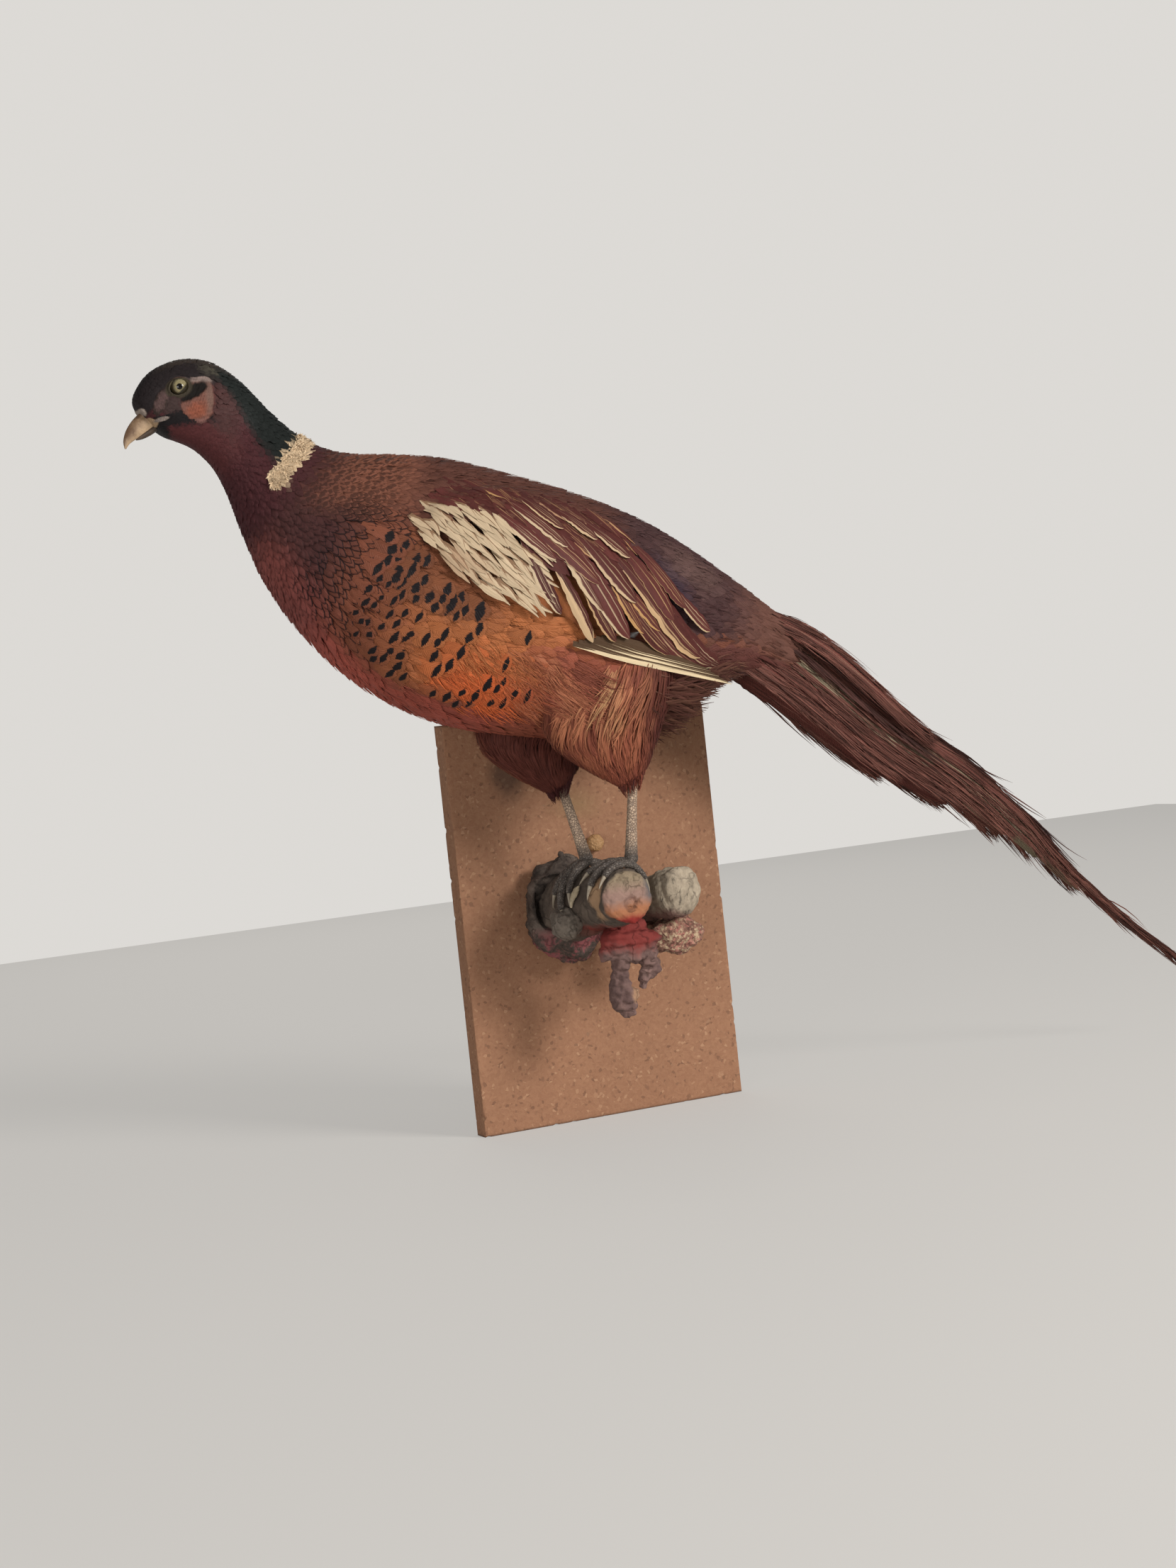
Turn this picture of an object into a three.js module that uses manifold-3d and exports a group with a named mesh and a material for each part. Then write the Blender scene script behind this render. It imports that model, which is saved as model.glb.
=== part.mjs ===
// A taxidermy cock pheasant on its perch and wall plaque, life size.
//
// Millimetres, +Z up. The origin is the centre of the plaque's back face, which
// hangs against a wall facing +Y. The bird faces -X and its midplane lies
// parallel to the wall, so its left side is turned to the viewer at -Y.
import * as THREE from 'three';
import { mergeVertices } from 'three/addons/utils/BufferGeometryUtils.js';
import Module from 'manifold-3d';

const wasm = await Module();
wasm.setup();

// ---------------------------------------------------------------- dimensions

const GAP = 0.35;                  // clearance between neighbouring solids
const MIDPLANE = -110;             // y of the bird's plane of symmetry
const BOARD = { width: 200, height: 285, thickness: 16 };
const BOARD_FRONT = -BOARD.thickness;
const LEFT = 1;                    // the bird's left side, towards -Y
const RIGHT = -1;
const SIDES = [['left', LEFT], ['right', RIGHT]];

// The body's outline: each station joins a point of the back line (x, z) to one
// of the belly line (x, z), then gives the half width across and how far up the
// station its widest point lies.
const BODY = [
  [-309, 350, -306, 346, 2, 0.50],
  [-314, 357, -301, 341, 8, 0.48],
  [-312, 366, -296, 337, 13, 0.47],
  [-301, 378, -289, 334, 16, 0.47],
  [-282, 384.5, -281, 330, 17.5, 0.50],
  [-263, 382, -275, 325, 18, 0.50],
  [-246, 370, -269, 318, 18.5, 0.50],
  [-233, 355, -264, 309, 20, 0.50],
  [-219, 340, -259, 295, 24, 0.50],
  [-203, 328, -253, 274, 31, 0.49],
  [-181, 321, -243, 246, 40, 0.47],
  [-150, 318.5, -222, 210, 50, 0.46],
  [-116, 314, -186, 172, 57, 0.46],
  [-78, 303, -137, 144, 61, 0.47],
  [-33, 288, -84, 131, 59, 0.47],
  [12, 269, -32, 124, 51, 0.46],
  [50, 246, 14, 130, 40, 0.44],
  [82, 222, 52, 146, 30, 0.42],
  [110, 200, 80, 153, 22, 0.40],
  [130, 181, 104, 147, 15, 0.40],
  [139, 165, 126, 148, 7, 0.45],
  [138, 157, 134, 153, 2, 0.50],
];

// Where the body is parted, as a share of its length from bill to rump.
const THROAT = 0.215;
const SHOULDERS = 0.335;
const RUMP = 0.79;
const PARTING = 0.0015;            // half of the cut's share of the length
const BODY_PARTS = [
  ['head', 0, THROAT, 12],
  ['neck', THROAT, SHOULDERS, 6],
  ['trunk', SHOULDERS, RUMP, 15],
  ['tail_base', RUMP, 1, 9],
];
const BODY_SIDES = 20;

// The folded wing lies on the trunk: share of the body's length, angle of its
// upper and lower edge from the back line in degrees, and thickness.
const WING = [
  [0.452, 68, 75, 1.6],
  [0.475, 56, 79, 3.4],
  [0.505, 46, 86, 4.6],
  [0.550, 36, 96, 5.2],
  [0.600, 33, 103, 5.2],
  [0.655, 39, 106, 4.8],
  [0.705, 54, 108, 4.0],
  [0.752, 74, 110, 3.0],
  [0.795, 96, 112, 1.6],
];

const WING_LIFT = 1.3;             // clears the flats between the trunk's stations

// The closed primaries reach out from under the wing's rear edge.
const PRIMARIES = {
  root: [-66, 61.5, 192],          // x, distance from the midplane, z
  tip: [58, 37, 153],
  width: 17,
  thickness: 2.4,
};

const BILL = {
  // x, z of the middle of the section, height, width
  upper: [[-298, 356, 8, 8], [-304, 352.4, 9.2, 8.6], [-311.5, 347.2, 8.6, 7.2],
    [-317.5, 341.4, 6.2, 5], [-320.6, 336, 3.4, 2.6], [-321.6, 332, 1, 1]],
  lower: [[-294, 349, 4, 8], [-300, 345.4, 4.6, 7.6], [-307, 341, 3.8, 5.6],
    [-312.5, 337.6, 2.8, 3.8], [-316, 335.4, 1, 1.4]],
};

const EYE = { x: -288, z: 365.5, radius: 5.4, out: 14.2 };

// The feathered thigh: height, front and rear edge, half width, and its middle's
// distance from the bird's midplane.
const THIGH = [
  [188, -66, 20, 14, 34],
  [168, -76, 22, 22, 33],
  [148, -80, 18, 24, 30],
  [127, -72, 9, 21, 27],
  [110, -50, 3, 15, 23],
  [99, -31, -1, 9.5, 20],
  [93, -20, -5, 3, 19],
];

const THIGH_TILT = 5;              // how much higher its rear edge lies

const LEGS = {
  left: { hip: 0, hock: [-12, -130, 112], ankle: [-20, -127, 43.5] },
  right: { hip: -36, hock: [-52, -89, 110], ankle: [-35, -88, 44.5] },
};
const TARSUS_RADIUS = [4.3, 3.7, 3.6, 4.0, 4.8];
const ANKLE_RADIUS = 5;

// Toes grip across the limb: direction over it (+1 towards the head), spread
// along it at the claw, reach over it in degrees, and radius at the root.
const TOES = [
  ['inner', 1, -13, 68, 3.2],
  ['middle', 1, -1, 92, 3.5],
  ['outer', 1, 10, 70, 3.2],
  ['hind', -1, 1, 36, 2.9],
];
const CLAW = { length: 9, hook: 1.6 };

// The tail closes like a roof. Its ridge runs down from the rump (x, z).
const RIDGE = [
  [96, 209], [145, 174.5], [204.5, 121.5], [260.5, 78.5], [304, 37], [337.5, -4],
  [379, -45], [434.5, -90.5],
];
const ROOF = { slope: THREE.MathUtils.degToRad(50), bend: 110, layer: 1.5, blade: 0.8 };
// For each pair of feathers: its share of the ridge's length, where its middle
// lies down the roof's slope near the root and at the tip, its half width, and
// how far it bows out above the roof.
const TAIL = [
  { share: 0.37, root: 11.5, tip: 8, half: 11, bow: 7 },
  { share: 1.0, root: 13.5, tip: 4, half: 7.8, bow: 0 },
  { share: 0.76, root: 19, tip: 10.5, half: 11, bow: 0 },
  { share: 0.66, root: 27, tip: 17, half: 12, bow: 0 },
  { share: 0.58, root: 35, tip: 25, half: 12.5, bow: 0 },
  { share: 0.46, root: 43, tip: 36, half: 12.5, bow: 0 },
  { share: 0.34, root: 49, tip: 45, half: 11.5, bow: 0 },
];

// The perch limb grows out of the plaque towards the viewer: distance from the
// wall, middle x and z, half width and half height.
const LIMB = [
  [-16.4, -29, 7, 24, 27],
  [-32, -30, 8.5, 23, 26],
  [-52, -31, 11, 21.8, 25],
  [-72, -32, 14, 21, 23.5],
  [-92, -32.5, 16.6, 20.3, 21.8],
  [-112, -32, 18.6, 19.4, 20.2],
  [-130, -31, 19, 18.6, 18.8],
  [-138, -31, 19, 17.8, 17.8],
  [-141.5, -31, 19, 13.5, 13.5],
  [-142.6, -31, 19, 5, 5],
];

// Lumps and branches of the perch: middle and radii, or sections of x, y, z and
// radius. The burl hugs the plaque and has a hollow in its left side.
const BURL = {
  middle: [-31, -36, 8],
  radii: [30, 24, 36],
  hollowMiddle: [-46, -60, 14],
  hollowRadii: [19, 20, 23],
};
const STUB = [
  [0, -36, 5, 11], [9, -62, 8, 13.5], [18, -86, 12, 16], [23, -102, 15, 17.3],
  [24.2, -109, 15.6, 14.5], [24.6, -111, 15.8, 6],
];
const KNOB = {
  stem: [[-4, -36, -6, 9], [10, -58, -11, 10], [22, -78, -15, 9]],
  middle: [26, -86, -15.5],
  radii: [20, 14, 13],
};
const DRIP = {
  middle: [-18, -104, -14],
  radii: [22, 13, 14],
  fall: [[-23, -103, -22, 9], [-25, -102, -33, 6], [-25, -101, -41, 7.5],
    [-23, -100, -50, 10], [-22, -99, -59, 7], [-22, -99, -64.5, 2]],
  side: [[-6, -102, -20, 9], [-2, -101, -30, 7], [-6, -100, -39, 5], [-9, -100, -46, 2]],
};
// A bead of filler squeezed out where the limb meets the plaque.
const FILLER = { middle: [3, BOARD_FRONT - GAP - 5, 49.5], radii: [6, 4.6, 6] };

// ------------------------------------------------------------------ materials

function finish(colour, roughness) {
  return new THREE.MeshStandardMaterial({ color: colour, roughness, metalness: 0 });
}
const FINISH = {
  head: finish(0x1d2320, 0.5),
  neck: finish(0x2c1517, 0.55),
  trunk: finish(0x6b3320, 0.7),
  rump: finish(0x4a2a28, 0.7),
  wing: finish(0x9a8067, 0.7),
  primary: finish(0xc9b892, 0.6),
  thigh: finish(0x7a4430, 0.85),
  tail: finish(0x5a3a2a, 0.7),
  bill: finish(0xb39c6b, 0.45),
  eye: finish(0xb4a860, 0.08),
  leg: finish(0x6d6458, 0.6),
  claw: finish(0x4a4038, 0.5),
  perch: finish(0x77736a, 0.9),
  drip: finish(0x70424a, 0.75),
  board: finish(0x96704f, 0.9),
};

// ------------------------------------------------------------- shape functions

// A smooth reading of a table: between two rows a cubic whose slopes follow
// their neighbours. Rows are spaced by the square root of the distance between
// their places, which keeps close stations close. Takes a share from 0 to 1.
function smoothTable(rows, place) {
  const knots = [0];
  for (let i = 1; i < rows.length; i += 1) {
    const a = place(rows[i - 1]);
    const b = place(rows[i]);
    knots.push(knots[i - 1] + Math.sqrt(Math.hypot(...b.map((v, k) => v - a[k]))));
  }
  const last = rows.length - 1;
  const slope = rows.map((row, i) => {
    const before = Math.max(i - 1, 0);
    const after = Math.min(i + 1, last);
    return row.map((_, k) => (rows[after][k] - rows[before][k]) / (knots[after] - knots[before]));
  });
  return (share) => {
    const t = share * knots[last];
    let i = 0;
    while (i < last - 1 && t > knots[i + 1]) i += 1;
    const span = knots[i + 1] - knots[i];
    const u = (t - knots[i]) / span;
    const fromA = 2 * u ** 3 - 3 * u ** 2 + 1;
    const slopeA = (u ** 3 - 2 * u ** 2 + u) * span;
    const slopeB = (u ** 3 - u ** 2) * span;
    return rows[i].map((v, k) => fromA * v + slopeA * slope[i][k]
      + (1 - fromA) * rows[i + 1][k] + slopeB * slope[i + 1][k]);
  };
}

function shares(count, from = 0, to = 1) {
  return Array.from({ length: count + 1 }, (_, i) => from + (to - from) * (i / count));
}

function turn(count) {
  return shares(count, 0, 2 * Math.PI).slice(0, count);
}

// Triangles of a closed solid from points and faces, turned to face outwards.
function closedSolid(points, faces) {
  const volume = faces.reduce((sum, [a, b, c]) => sum
    + points[a].dot(new THREE.Vector3().crossVectors(points[b], points[c])), 0);
  const outward = volume < 0 ? faces.map(([a, b, c]) => [a, c, b]) : faces;
  const geometry = new THREE.BufferGeometry();
  geometry.setAttribute('position', new THREE.Float32BufferAttribute(
    points.flatMap((p) => [p.x, p.y, p.z]), 3));
  geometry.setIndex(outward.flat());
  return solidOf(geometry);
}

function solidOf(geometry) {
  const bare = geometry.index ? geometry.clone() : geometry;
  bare.deleteAttribute('normal');
  bare.deleteAttribute('uv');
  const merged = mergeVertices(bare, 1e-4);
  return new wasm.Manifold(new wasm.Mesh({
    numProp: 3,
    vertProperties: new Float32Array(merged.attributes.position.array),
    triVerts: new Uint32Array(merged.index.array),
  }));
}

// A tube through rings of points, closed at both ends by a fan to the middle.
function ringSolid(rings) {
  const around = rings[0].length;
  const points = rings.flat();
  const faces = [];
  for (let i = 0; i < rings.length - 1; i += 1) {
    for (let j = 0; j < around; j += 1) {
      const a = i * around + j;
      const b = i * around + ((j + 1) % around);
      faces.push([a, b, b + around], [a, b + around, a + around]);
    }
  }
  for (const [ring, flip] of [[0, true], [rings.length - 1, false]]) {
    const centre = points.length;
    const middle = new THREE.Vector3();
    rings[ring].forEach((p) => middle.addScaledVector(p, 1 / around));
    points.push(middle);
    for (let j = 0; j < around; j += 1) {
      const a = ring * around + j;
      const b = ring * around + ((j + 1) % around);
      faces.push(flip ? [centre, b, a] : [centre, a, b]);
    }
  }
  return closedSolid(points, faces);
}

// A plate between two grids of points of the same size.
function plateSolid(top, under) {
  const rows = top.length;
  const columns = top[0].length;
  const points = [...top.flat(), ...under.flat()];
  const lower = rows * columns;
  const at = (i, j) => i * columns + j;
  const faces = [];
  const quad = (a, b, c, d) => faces.push([a, b, c], [a, c, d]);
  for (let i = 0; i < rows - 1; i += 1) {
    for (let j = 0; j < columns - 1; j += 1) {
      quad(at(i, j), at(i + 1, j), at(i + 1, j + 1), at(i, j + 1));
      quad(lower + at(i, j), lower + at(i, j + 1), lower + at(i + 1, j + 1), lower + at(i + 1, j));
    }
  }
  const rim = [];
  for (let j = 0; j < columns - 1; j += 1) rim.push(at(0, j));
  for (let i = 0; i < rows - 1; i += 1) rim.push(at(i, columns - 1));
  for (let j = columns - 1; j > 0; j -= 1) rim.push(at(rows - 1, j));
  for (let i = rows - 1; i > 0; i -= 1) rim.push(at(i, 0));
  rim.forEach((a, k) => {
    const b = rim[(k + 1) % rim.length];
    quad(a, b, lower + b, lower + a);
  });
  return closedSolid(points, faces);
}

// A round bar along a list of places, with a radius at each.
function barSolid(places, radii, around = 8, squash = 1) {
  const last = places.length - 1;
  const rings = places.map((place, i) => {
    const along = new THREE.Vector3().subVectors(
      places[Math.min(i + 1, last)], places[Math.max(i - 1, 0)]).normalize();
    const across = new THREE.Vector3(0, -1, 0);
    if (Math.abs(along.y) > 0.8) across.set(1, 0, 0);
    across.addScaledVector(along, -across.dot(along)).normalize();
    const up = new THREE.Vector3().crossVectors(along, across);
    return turn(around).map((angle) => place.clone()
      .addScaledVector(across, radii[i] * squash * Math.cos(angle))
      .addScaledVector(up, radii[i] * Math.sin(angle)));
  });
  return ringSolid(rings);
}

// A rounded lump whose surface swells and dips a little in smooth waves.
function lumpSolid(centre, radii, waves, around = 14, high = 9) {
  const rings = shares(high, 0.06, 0.94).map((share) => turn(around).map((angle) => {
    const polar = share * Math.PI;
    const swell = 1 + waves * Math.sin(3 * angle + 2 * polar) + waves * Math.sin(5 * polar - angle);
    return new THREE.Vector3(
      centre[0] + radii[0] * swell * Math.sin(polar) * Math.cos(angle),
      centre[1] + radii[1] * swell * Math.sin(polar) * Math.sin(angle),
      centre[2] + radii[2] * swell * Math.cos(polar));
  }));
  return ringSolid(rings);
}

function largest(solid) {
  return solid.decompose().sort((a, b) => b.volume() - a.volume())[0];
}

// What is left of a solid when each neighbour, already grown by the gap, is cut
// from it. Loose crumbs are dropped.
function cutBy(solid, ...neighbours) {
  return largest(neighbours.reduce((rest, other) => rest.subtract(other), solid));
}

function spot([x, y, z]) {
  return new THREE.Vector3(x, y, z);
}

// ----------------------------------------------------------------------- body

const bodyRow = smoothTable(BODY, (row) => [(row[0] + row[2]) / 2, (row[1] + row[3]) / 2]);

// A point of the body: share of its length from bill to rump, angle from the
// back line over the left flank, and how far it lies outside the feathers.
function bodyPoint(share, angle, grow = 0) {
  const [backX, backZ, bellyX, bellyZ, half, rise] = bodyRow(share);
  const middleX = bellyX + (backX - bellyX) * rise;
  const middleZ = bellyZ + (backZ - bellyZ) * rise;
  const [endX, endZ] = Math.cos(angle) > 0 ? [backX, backZ] : [bellyX, bellyZ];
  const reach = Math.hypot(endX - middleX, endZ - middleZ);
  const step = Math.abs(Math.cos(angle)) * (reach + grow) / reach;
  return new THREE.Vector3(
    middleX + (endX - middleX) * step,
    MIDPLANE - (half + grow) * Math.sin(angle),
    middleZ + (endZ - middleZ) * step);
}

function bodySolid(stations, grow = 0) {
  return ringSolid(stations.map((share) => turn(BODY_SIDES)
    .map((angle) => bodyPoint(share, angle, grow))));
}

// The whole body a gap larger, on the same stations as its parts.
const grownBody = bodySolid([0, ...BODY_PARTS.flatMap(
  ([, from, to, steps]) => shares(steps, from, to).slice(1))], GAP);

// ----------------------------------------------------------------------- head

function billSolid(sections, grow = 0) {
  const row = smoothTable(sections, (r) => r.slice(0, 2));
  const rings = shares(6).map((share) => {
    const [x, z, height, width] = row(share);
    const [aheadX, aheadZ] = row(Math.min(share + 0.02, 1));
    const [behindX, behindZ] = row(Math.max(share - 0.02, 0));
    const length = Math.hypot(aheadX - behindX, aheadZ - behindZ);
    const across = [-(aheadZ - behindZ) / length, (aheadX - behindX) / length];
    return turn(9).map((angle) => {
      const lift = (height / 2 + grow) * Math.cos(angle);
      return new THREE.Vector3(
        x + across[0] * lift,
        MIDPLANE - (width / 2 + grow) * Math.sin(angle),
        z + across[1] * lift);
    });
  });
  return ringSolid(rings);
}

function eyeSolid(side, grow = 0) {
  const ball = new THREE.SphereGeometry(EYE.radius + grow, 10, 6);
  ball.rotateX(Math.PI / 2);
  ball.translate(EYE.x, MIDPLANE - side * EYE.out, EYE.z);
  return solidOf(ball);
}

// ---------------------------------------------------------------------- wings

// The wing's plate over the flank, lying its own distance above the feathers.
function wingSolid(side, grow = 0) {
  const row = smoothTable(WING, (r) => [r[0] * 400]);
  const sheet = (height) => shares(11).map((along) => {
    const [share, upper, lower, thickness] = row(along);
    return shares(5).map((across) => {
      const margin = grow * 1.6;
      const edge = upper - margin + (lower - upper + 2 * margin) * across;
      const angle = THREE.MathUtils.degToRad(edge);
      const crown = thickness * (0.45 + 0.55 * Math.sin(Math.PI * across));
      const out = height === 0 ? WING_LIFT - grow : WING_LIFT + crown + grow;
      return bodyPoint(share, side * angle, out);
    });
  });
  return plateSolid(sheet(1), sheet(0));
}

// The primaries: a long flat blade that leaves the body as the body narrows.
function primariesSolid(side, grow = 0) {
  const root = spot(PRIMARIES.root);
  const tip = spot(PRIMARIES.tip);
  const along = new THREE.Vector3().subVectors(tip, root).normalize();
  const wide = new THREE.Vector3(0, 0, 1).addScaledVector(along, -along.z).normalize();
  const out = new THREE.Vector3().crossVectors(wide, along);
  if (out.y < 0) out.negate();
  const thick = PRIMARIES.thickness / 2;
  const sheet = (face) => shares(6).map((share) => {
    const middle = root.clone().lerp(tip, share);
    const half = PRIMARIES.width / 2 * (share < 0.75 ? 1 : 1 - 2.6 * (share - 0.75)) + grow;
    return shares(2, -1, 1).map((across) => {
      const p = middle.clone()
        .addScaledVector(wide, half * across)
        .addScaledVector(out, face * (thick * (1.15 - Math.abs(across) * 0.5) + grow));
      return new THREE.Vector3(p.x, MIDPLANE - side * p.y, p.z);
    });
  });
  return plateSolid(sheet(1), sheet(-1));
}

// ----------------------------------------------------------------------- legs

function thighSolid(side, hip) {
  const row = smoothTable(THIGH, (r) => r.slice(0, 3));
  const [top] = THIGH[0];
  const [bottom] = THIGH[THIGH.length - 1];
  return ringSolid(shares(8).map((share) => {
    const [z, front, rear, half, out] = row(share);
    const drop = (top - z) / (top - bottom);
    const middle = (front + rear) / 2 + hip * (0.35 + 0.65 * drop);
    return turn(12).map((angle) => new THREE.Vector3(
      middle + (rear - front) / 2 * Math.cos(angle),
      MIDPLANE - side * (out + half * Math.sin(angle)),
      z + THIGH_TILT * Math.cos(angle)));
  }));
}

function tarsusSolid(leg, grow = 0) {
  const hock = spot(leg.hock);
  const ankle = spot(leg.ankle);
  const last = TARSUS_RADIUS.length - 1;
  const places = TARSUS_RADIUS.map((_, i) => hock.clone().lerp(ankle, i / last));
  return barSolid(places, TARSUS_RADIUS.map((r) => r + grow), 10, 0.85);
}

const limbRow = smoothTable(LIMB, (row) => [row[0]]);

// How far along its table the limb is at a distance from the wall.
function limbShare(y) {
  let low = 0;
  let high = 1;
  for (let i = 0; i < 30; i += 1) {
    const middle = (low + high) / 2;
    if (limbRow(middle)[0] > y) low = middle; else high = middle;
  }
  return (low + high) / 2;
}

// A point of the limb's knotty surface; the angle runs from the top towards -X.
function limbPoint(share, angle, grow = 0) {
  const [y, x, z, half, high] = limbRow(share);
  const knots = 1 + 0.035 * Math.sin(3 * angle + y / 9) * Math.sin(angle / 2) ** 2;
  return new THREE.Vector3(
    x - (half * knots + grow) * Math.sin(angle), y, z + (high * knots + grow) * Math.cos(angle));
}

function limbSolid(grow = 0) {
  return ringSolid(shares(10).map((share) => turn(14)
    .map((angle) => limbPoint(share, angle, grow))));
}

// The path of one toe from the ankle over the limb, as places and radii.
function toePath(leg, [, direction, spread, reach, radius]) {
  const ankleY = leg.ankle[1];
  const [, limbX, , , limbHigh] = limbRow(limbShare(ankleY));
  const start = Math.asin((limbX - leg.ankle[0]) / (limbHigh + ANKLE_RADIUS));
  const steps = shares(4);
  const radii = steps.map((s) => radius * (1 - 0.35 * s));
  const places = steps.map((s, i) => {
    const angle = start + direction * THREE.MathUtils.degToRad(reach) * s;
    const share = limbShare(ankleY - spread * Math.sqrt(s));
    return limbPoint(share, angle, radii[i] + GAP + 0.25);
  });
  return { places, radii };
}

function footSolid(leg, grow = 0) {
  const ankle = new THREE.SphereGeometry(ANKLE_RADIUS + grow, 8, 5);
  ankle.translate(leg.ankle[0], leg.ankle[1], leg.ankle[2]);
  return TOES.reduce((foot, toe) => {
    const { places, radii } = toePath(leg, toe);
    return foot.add(barSolid(places, radii.map((r) => r + grow), 6));
  }, solidOf(ankle));
}

// A claw hooks on from the toe's end and bends in towards the limb.
function clawSolid(leg, toe) {
  const { places, radii } = toePath(leg, toe);
  const tip = places[places.length - 1];
  const ahead = new THREE.Vector3().subVectors(tip, places[places.length - 2]).normalize();
  const limbMiddle = limbRow(limbShare(tip.y));
  const inward = new THREE.Vector3(limbMiddle[1] - tip.x, 0, limbMiddle[2] - tip.z).normalize();
  const radius = radii[radii.length - 1];
  const claw = shares(3).map((s) => tip.clone()
    .addScaledVector(ahead, radius * 0.4 + GAP + CLAW.length * s)
    .addScaledVector(inward, CLAW.hook * s * s));
  return barSolid(claw, shares(3).map((s) => radius * 0.75 * (1 - 0.85 * s)), 6);
}

// ----------------------------------------------------------------------- tail

const ridgeRow = smoothTable(RIDGE, (row) => row);

// A point of the roof that the tail feathers form: share of the ridge's length,
// distance down the slope, and depth below the outer feathers.
function roofPoint(side, share, slope, depth) {
  const [x, z] = ridgeRow(share);
  const [aheadX, aheadZ] = ridgeRow(Math.min(share + 0.01, 1));
  const [behindX, behindZ] = ridgeRow(Math.max(share - 0.01, 0));
  const length = Math.hypot(aheadX - behindX, aheadZ - behindZ);
  const under = [(aheadZ - behindZ) / length, -(aheadX - behindX) / length];
  const angle = ROOF.slope + slope / ROOF.bend;
  const out = ROOF.bend * (Math.sin(angle) - Math.sin(ROOF.slope)) - depth * Math.sin(angle);
  const drop = ROOF.bend * (Math.cos(ROOF.slope) - Math.cos(angle)) + depth * Math.cos(angle);
  return new THREE.Vector3(x + under[0] * drop, MIDPLANE - side * out, z + under[1] * drop);
}

// How broad a tail feather is along its length, as a share of its full width.
function featherBreadth(along) {
  const root = Math.min(1, 0.45 + 2.2 * along);
  const tip = Math.sqrt(Math.max(0, 1 - along ** 1.7));
  return Math.max(root * tip, 0.05);
}

function tailFeatherSolid(side, pair) {
  const { share, root, tip, half, bow } = TAIL[pair];
  const sheet = (under) => shares(7).map((along) => {
    const middle = root + (tip - root) * along;
    const breadth = half * featherBreadth(along) * (share === 1 ? 1 - 0.5 * along : 1);
    const depth = pair * ROOF.layer - bow * Math.sin(Math.PI * along);
    return shares(2, -1, 1).map((across) => roofPoint(
      side, share * along, middle + breadth * across, depth + (under ? ROOF.blade : 0)));
  });
  return plateSolid(sheet(false), sheet(true));
}

// ---------------------------------------------------------------------- perch

function burlSolid() {
  const lump = lumpSolid(BURL.middle, BURL.radii, 0.05, 12, 6);
  const hollow = lumpSolid(BURL.hollowMiddle, BURL.hollowRadii, 0.04, 8, 5);
  const behind = new THREE.BoxGeometry(BOARD.width, BOARD.thickness * 3, BOARD.height);
  behind.translate(0, BOARD_FRONT - GAP + BOARD.thickness * 1.5, 0);
  return lump.subtract(hollow).subtract(solidOf(behind));
}

// A branch of round sections, each given as a place and a radius.
function branchSolid(sections, around, grow = 0) {
  return barSolid(sections.map(spot), sections.map((r) => r[3] + grow), around);
}

function stubSolid(grow = 0) {
  return branchSolid(STUB, 14, grow);
}

function knobSolid(grow = 0) {
  return branchSolid(KNOB.stem, 8, grow).add(
    lumpSolid(KNOB.middle, KNOB.radii.map((r) => r + grow), 0.04, 11, 6));
}

function dripSolid() {
  return lumpSolid(DRIP.middle, DRIP.radii, 0.07, 10, 5)
    .add(branchSolid(DRIP.fall, 8))
    .add(branchSolid(DRIP.side, 7));
}

// ------------------------------------------------------------------- assembly

const model = new THREE.Group();

function addNode(name, solid, material) {
  const { vertProperties, triVerts } = solid.getMesh();
  const geometry = new THREE.BufferGeometry();
  geometry.setAttribute('position', new THREE.BufferAttribute(new Float32Array(vertProperties), 3));
  geometry.setIndex(new THREE.BufferAttribute(new Uint32Array(triVerts), 1));
  geometry.computeVertexNormals();
  const mesh = new THREE.Mesh(geometry, material);
  mesh.name = name;
  model.add(mesh);
}

const board = new THREE.BoxGeometry(BOARD.width, BOARD.thickness, BOARD.height);
board.translate(0, -BOARD.thickness / 2, 0);
addNode('board', solidOf(board), FINISH.board);

const billUpper = billSolid(BILL.upper);
const billLower = billSolid(BILL.lower);
const grownUpper = billSolid(BILL.upper, GAP);
const eyeSockets = SIDES.map(([, side]) => eyeSolid(side, GAP));
const bodyFinish = {
  head: FINISH.head, neck: FINISH.neck, trunk: FINISH.trunk, tail_base: FINISH.rump,
};

for (const [name, from, to, steps] of BODY_PARTS) {
  const start = from === 0 ? 0 : from + PARTING;
  const end = to === 1 ? 1 : to - PARTING;
  const whole = bodySolid(shares(steps, start, end));
  const solid = name === 'head' ? cutBy(whole, ...eyeSockets) : whole;
  addNode(name, solid, bodyFinish[name]);
}
addNode('bill_upper', cutBy(billUpper, grownBody), FINISH.bill);
addNode('bill_lower', cutBy(billLower, grownBody, grownUpper), FINISH.bill);

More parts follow.
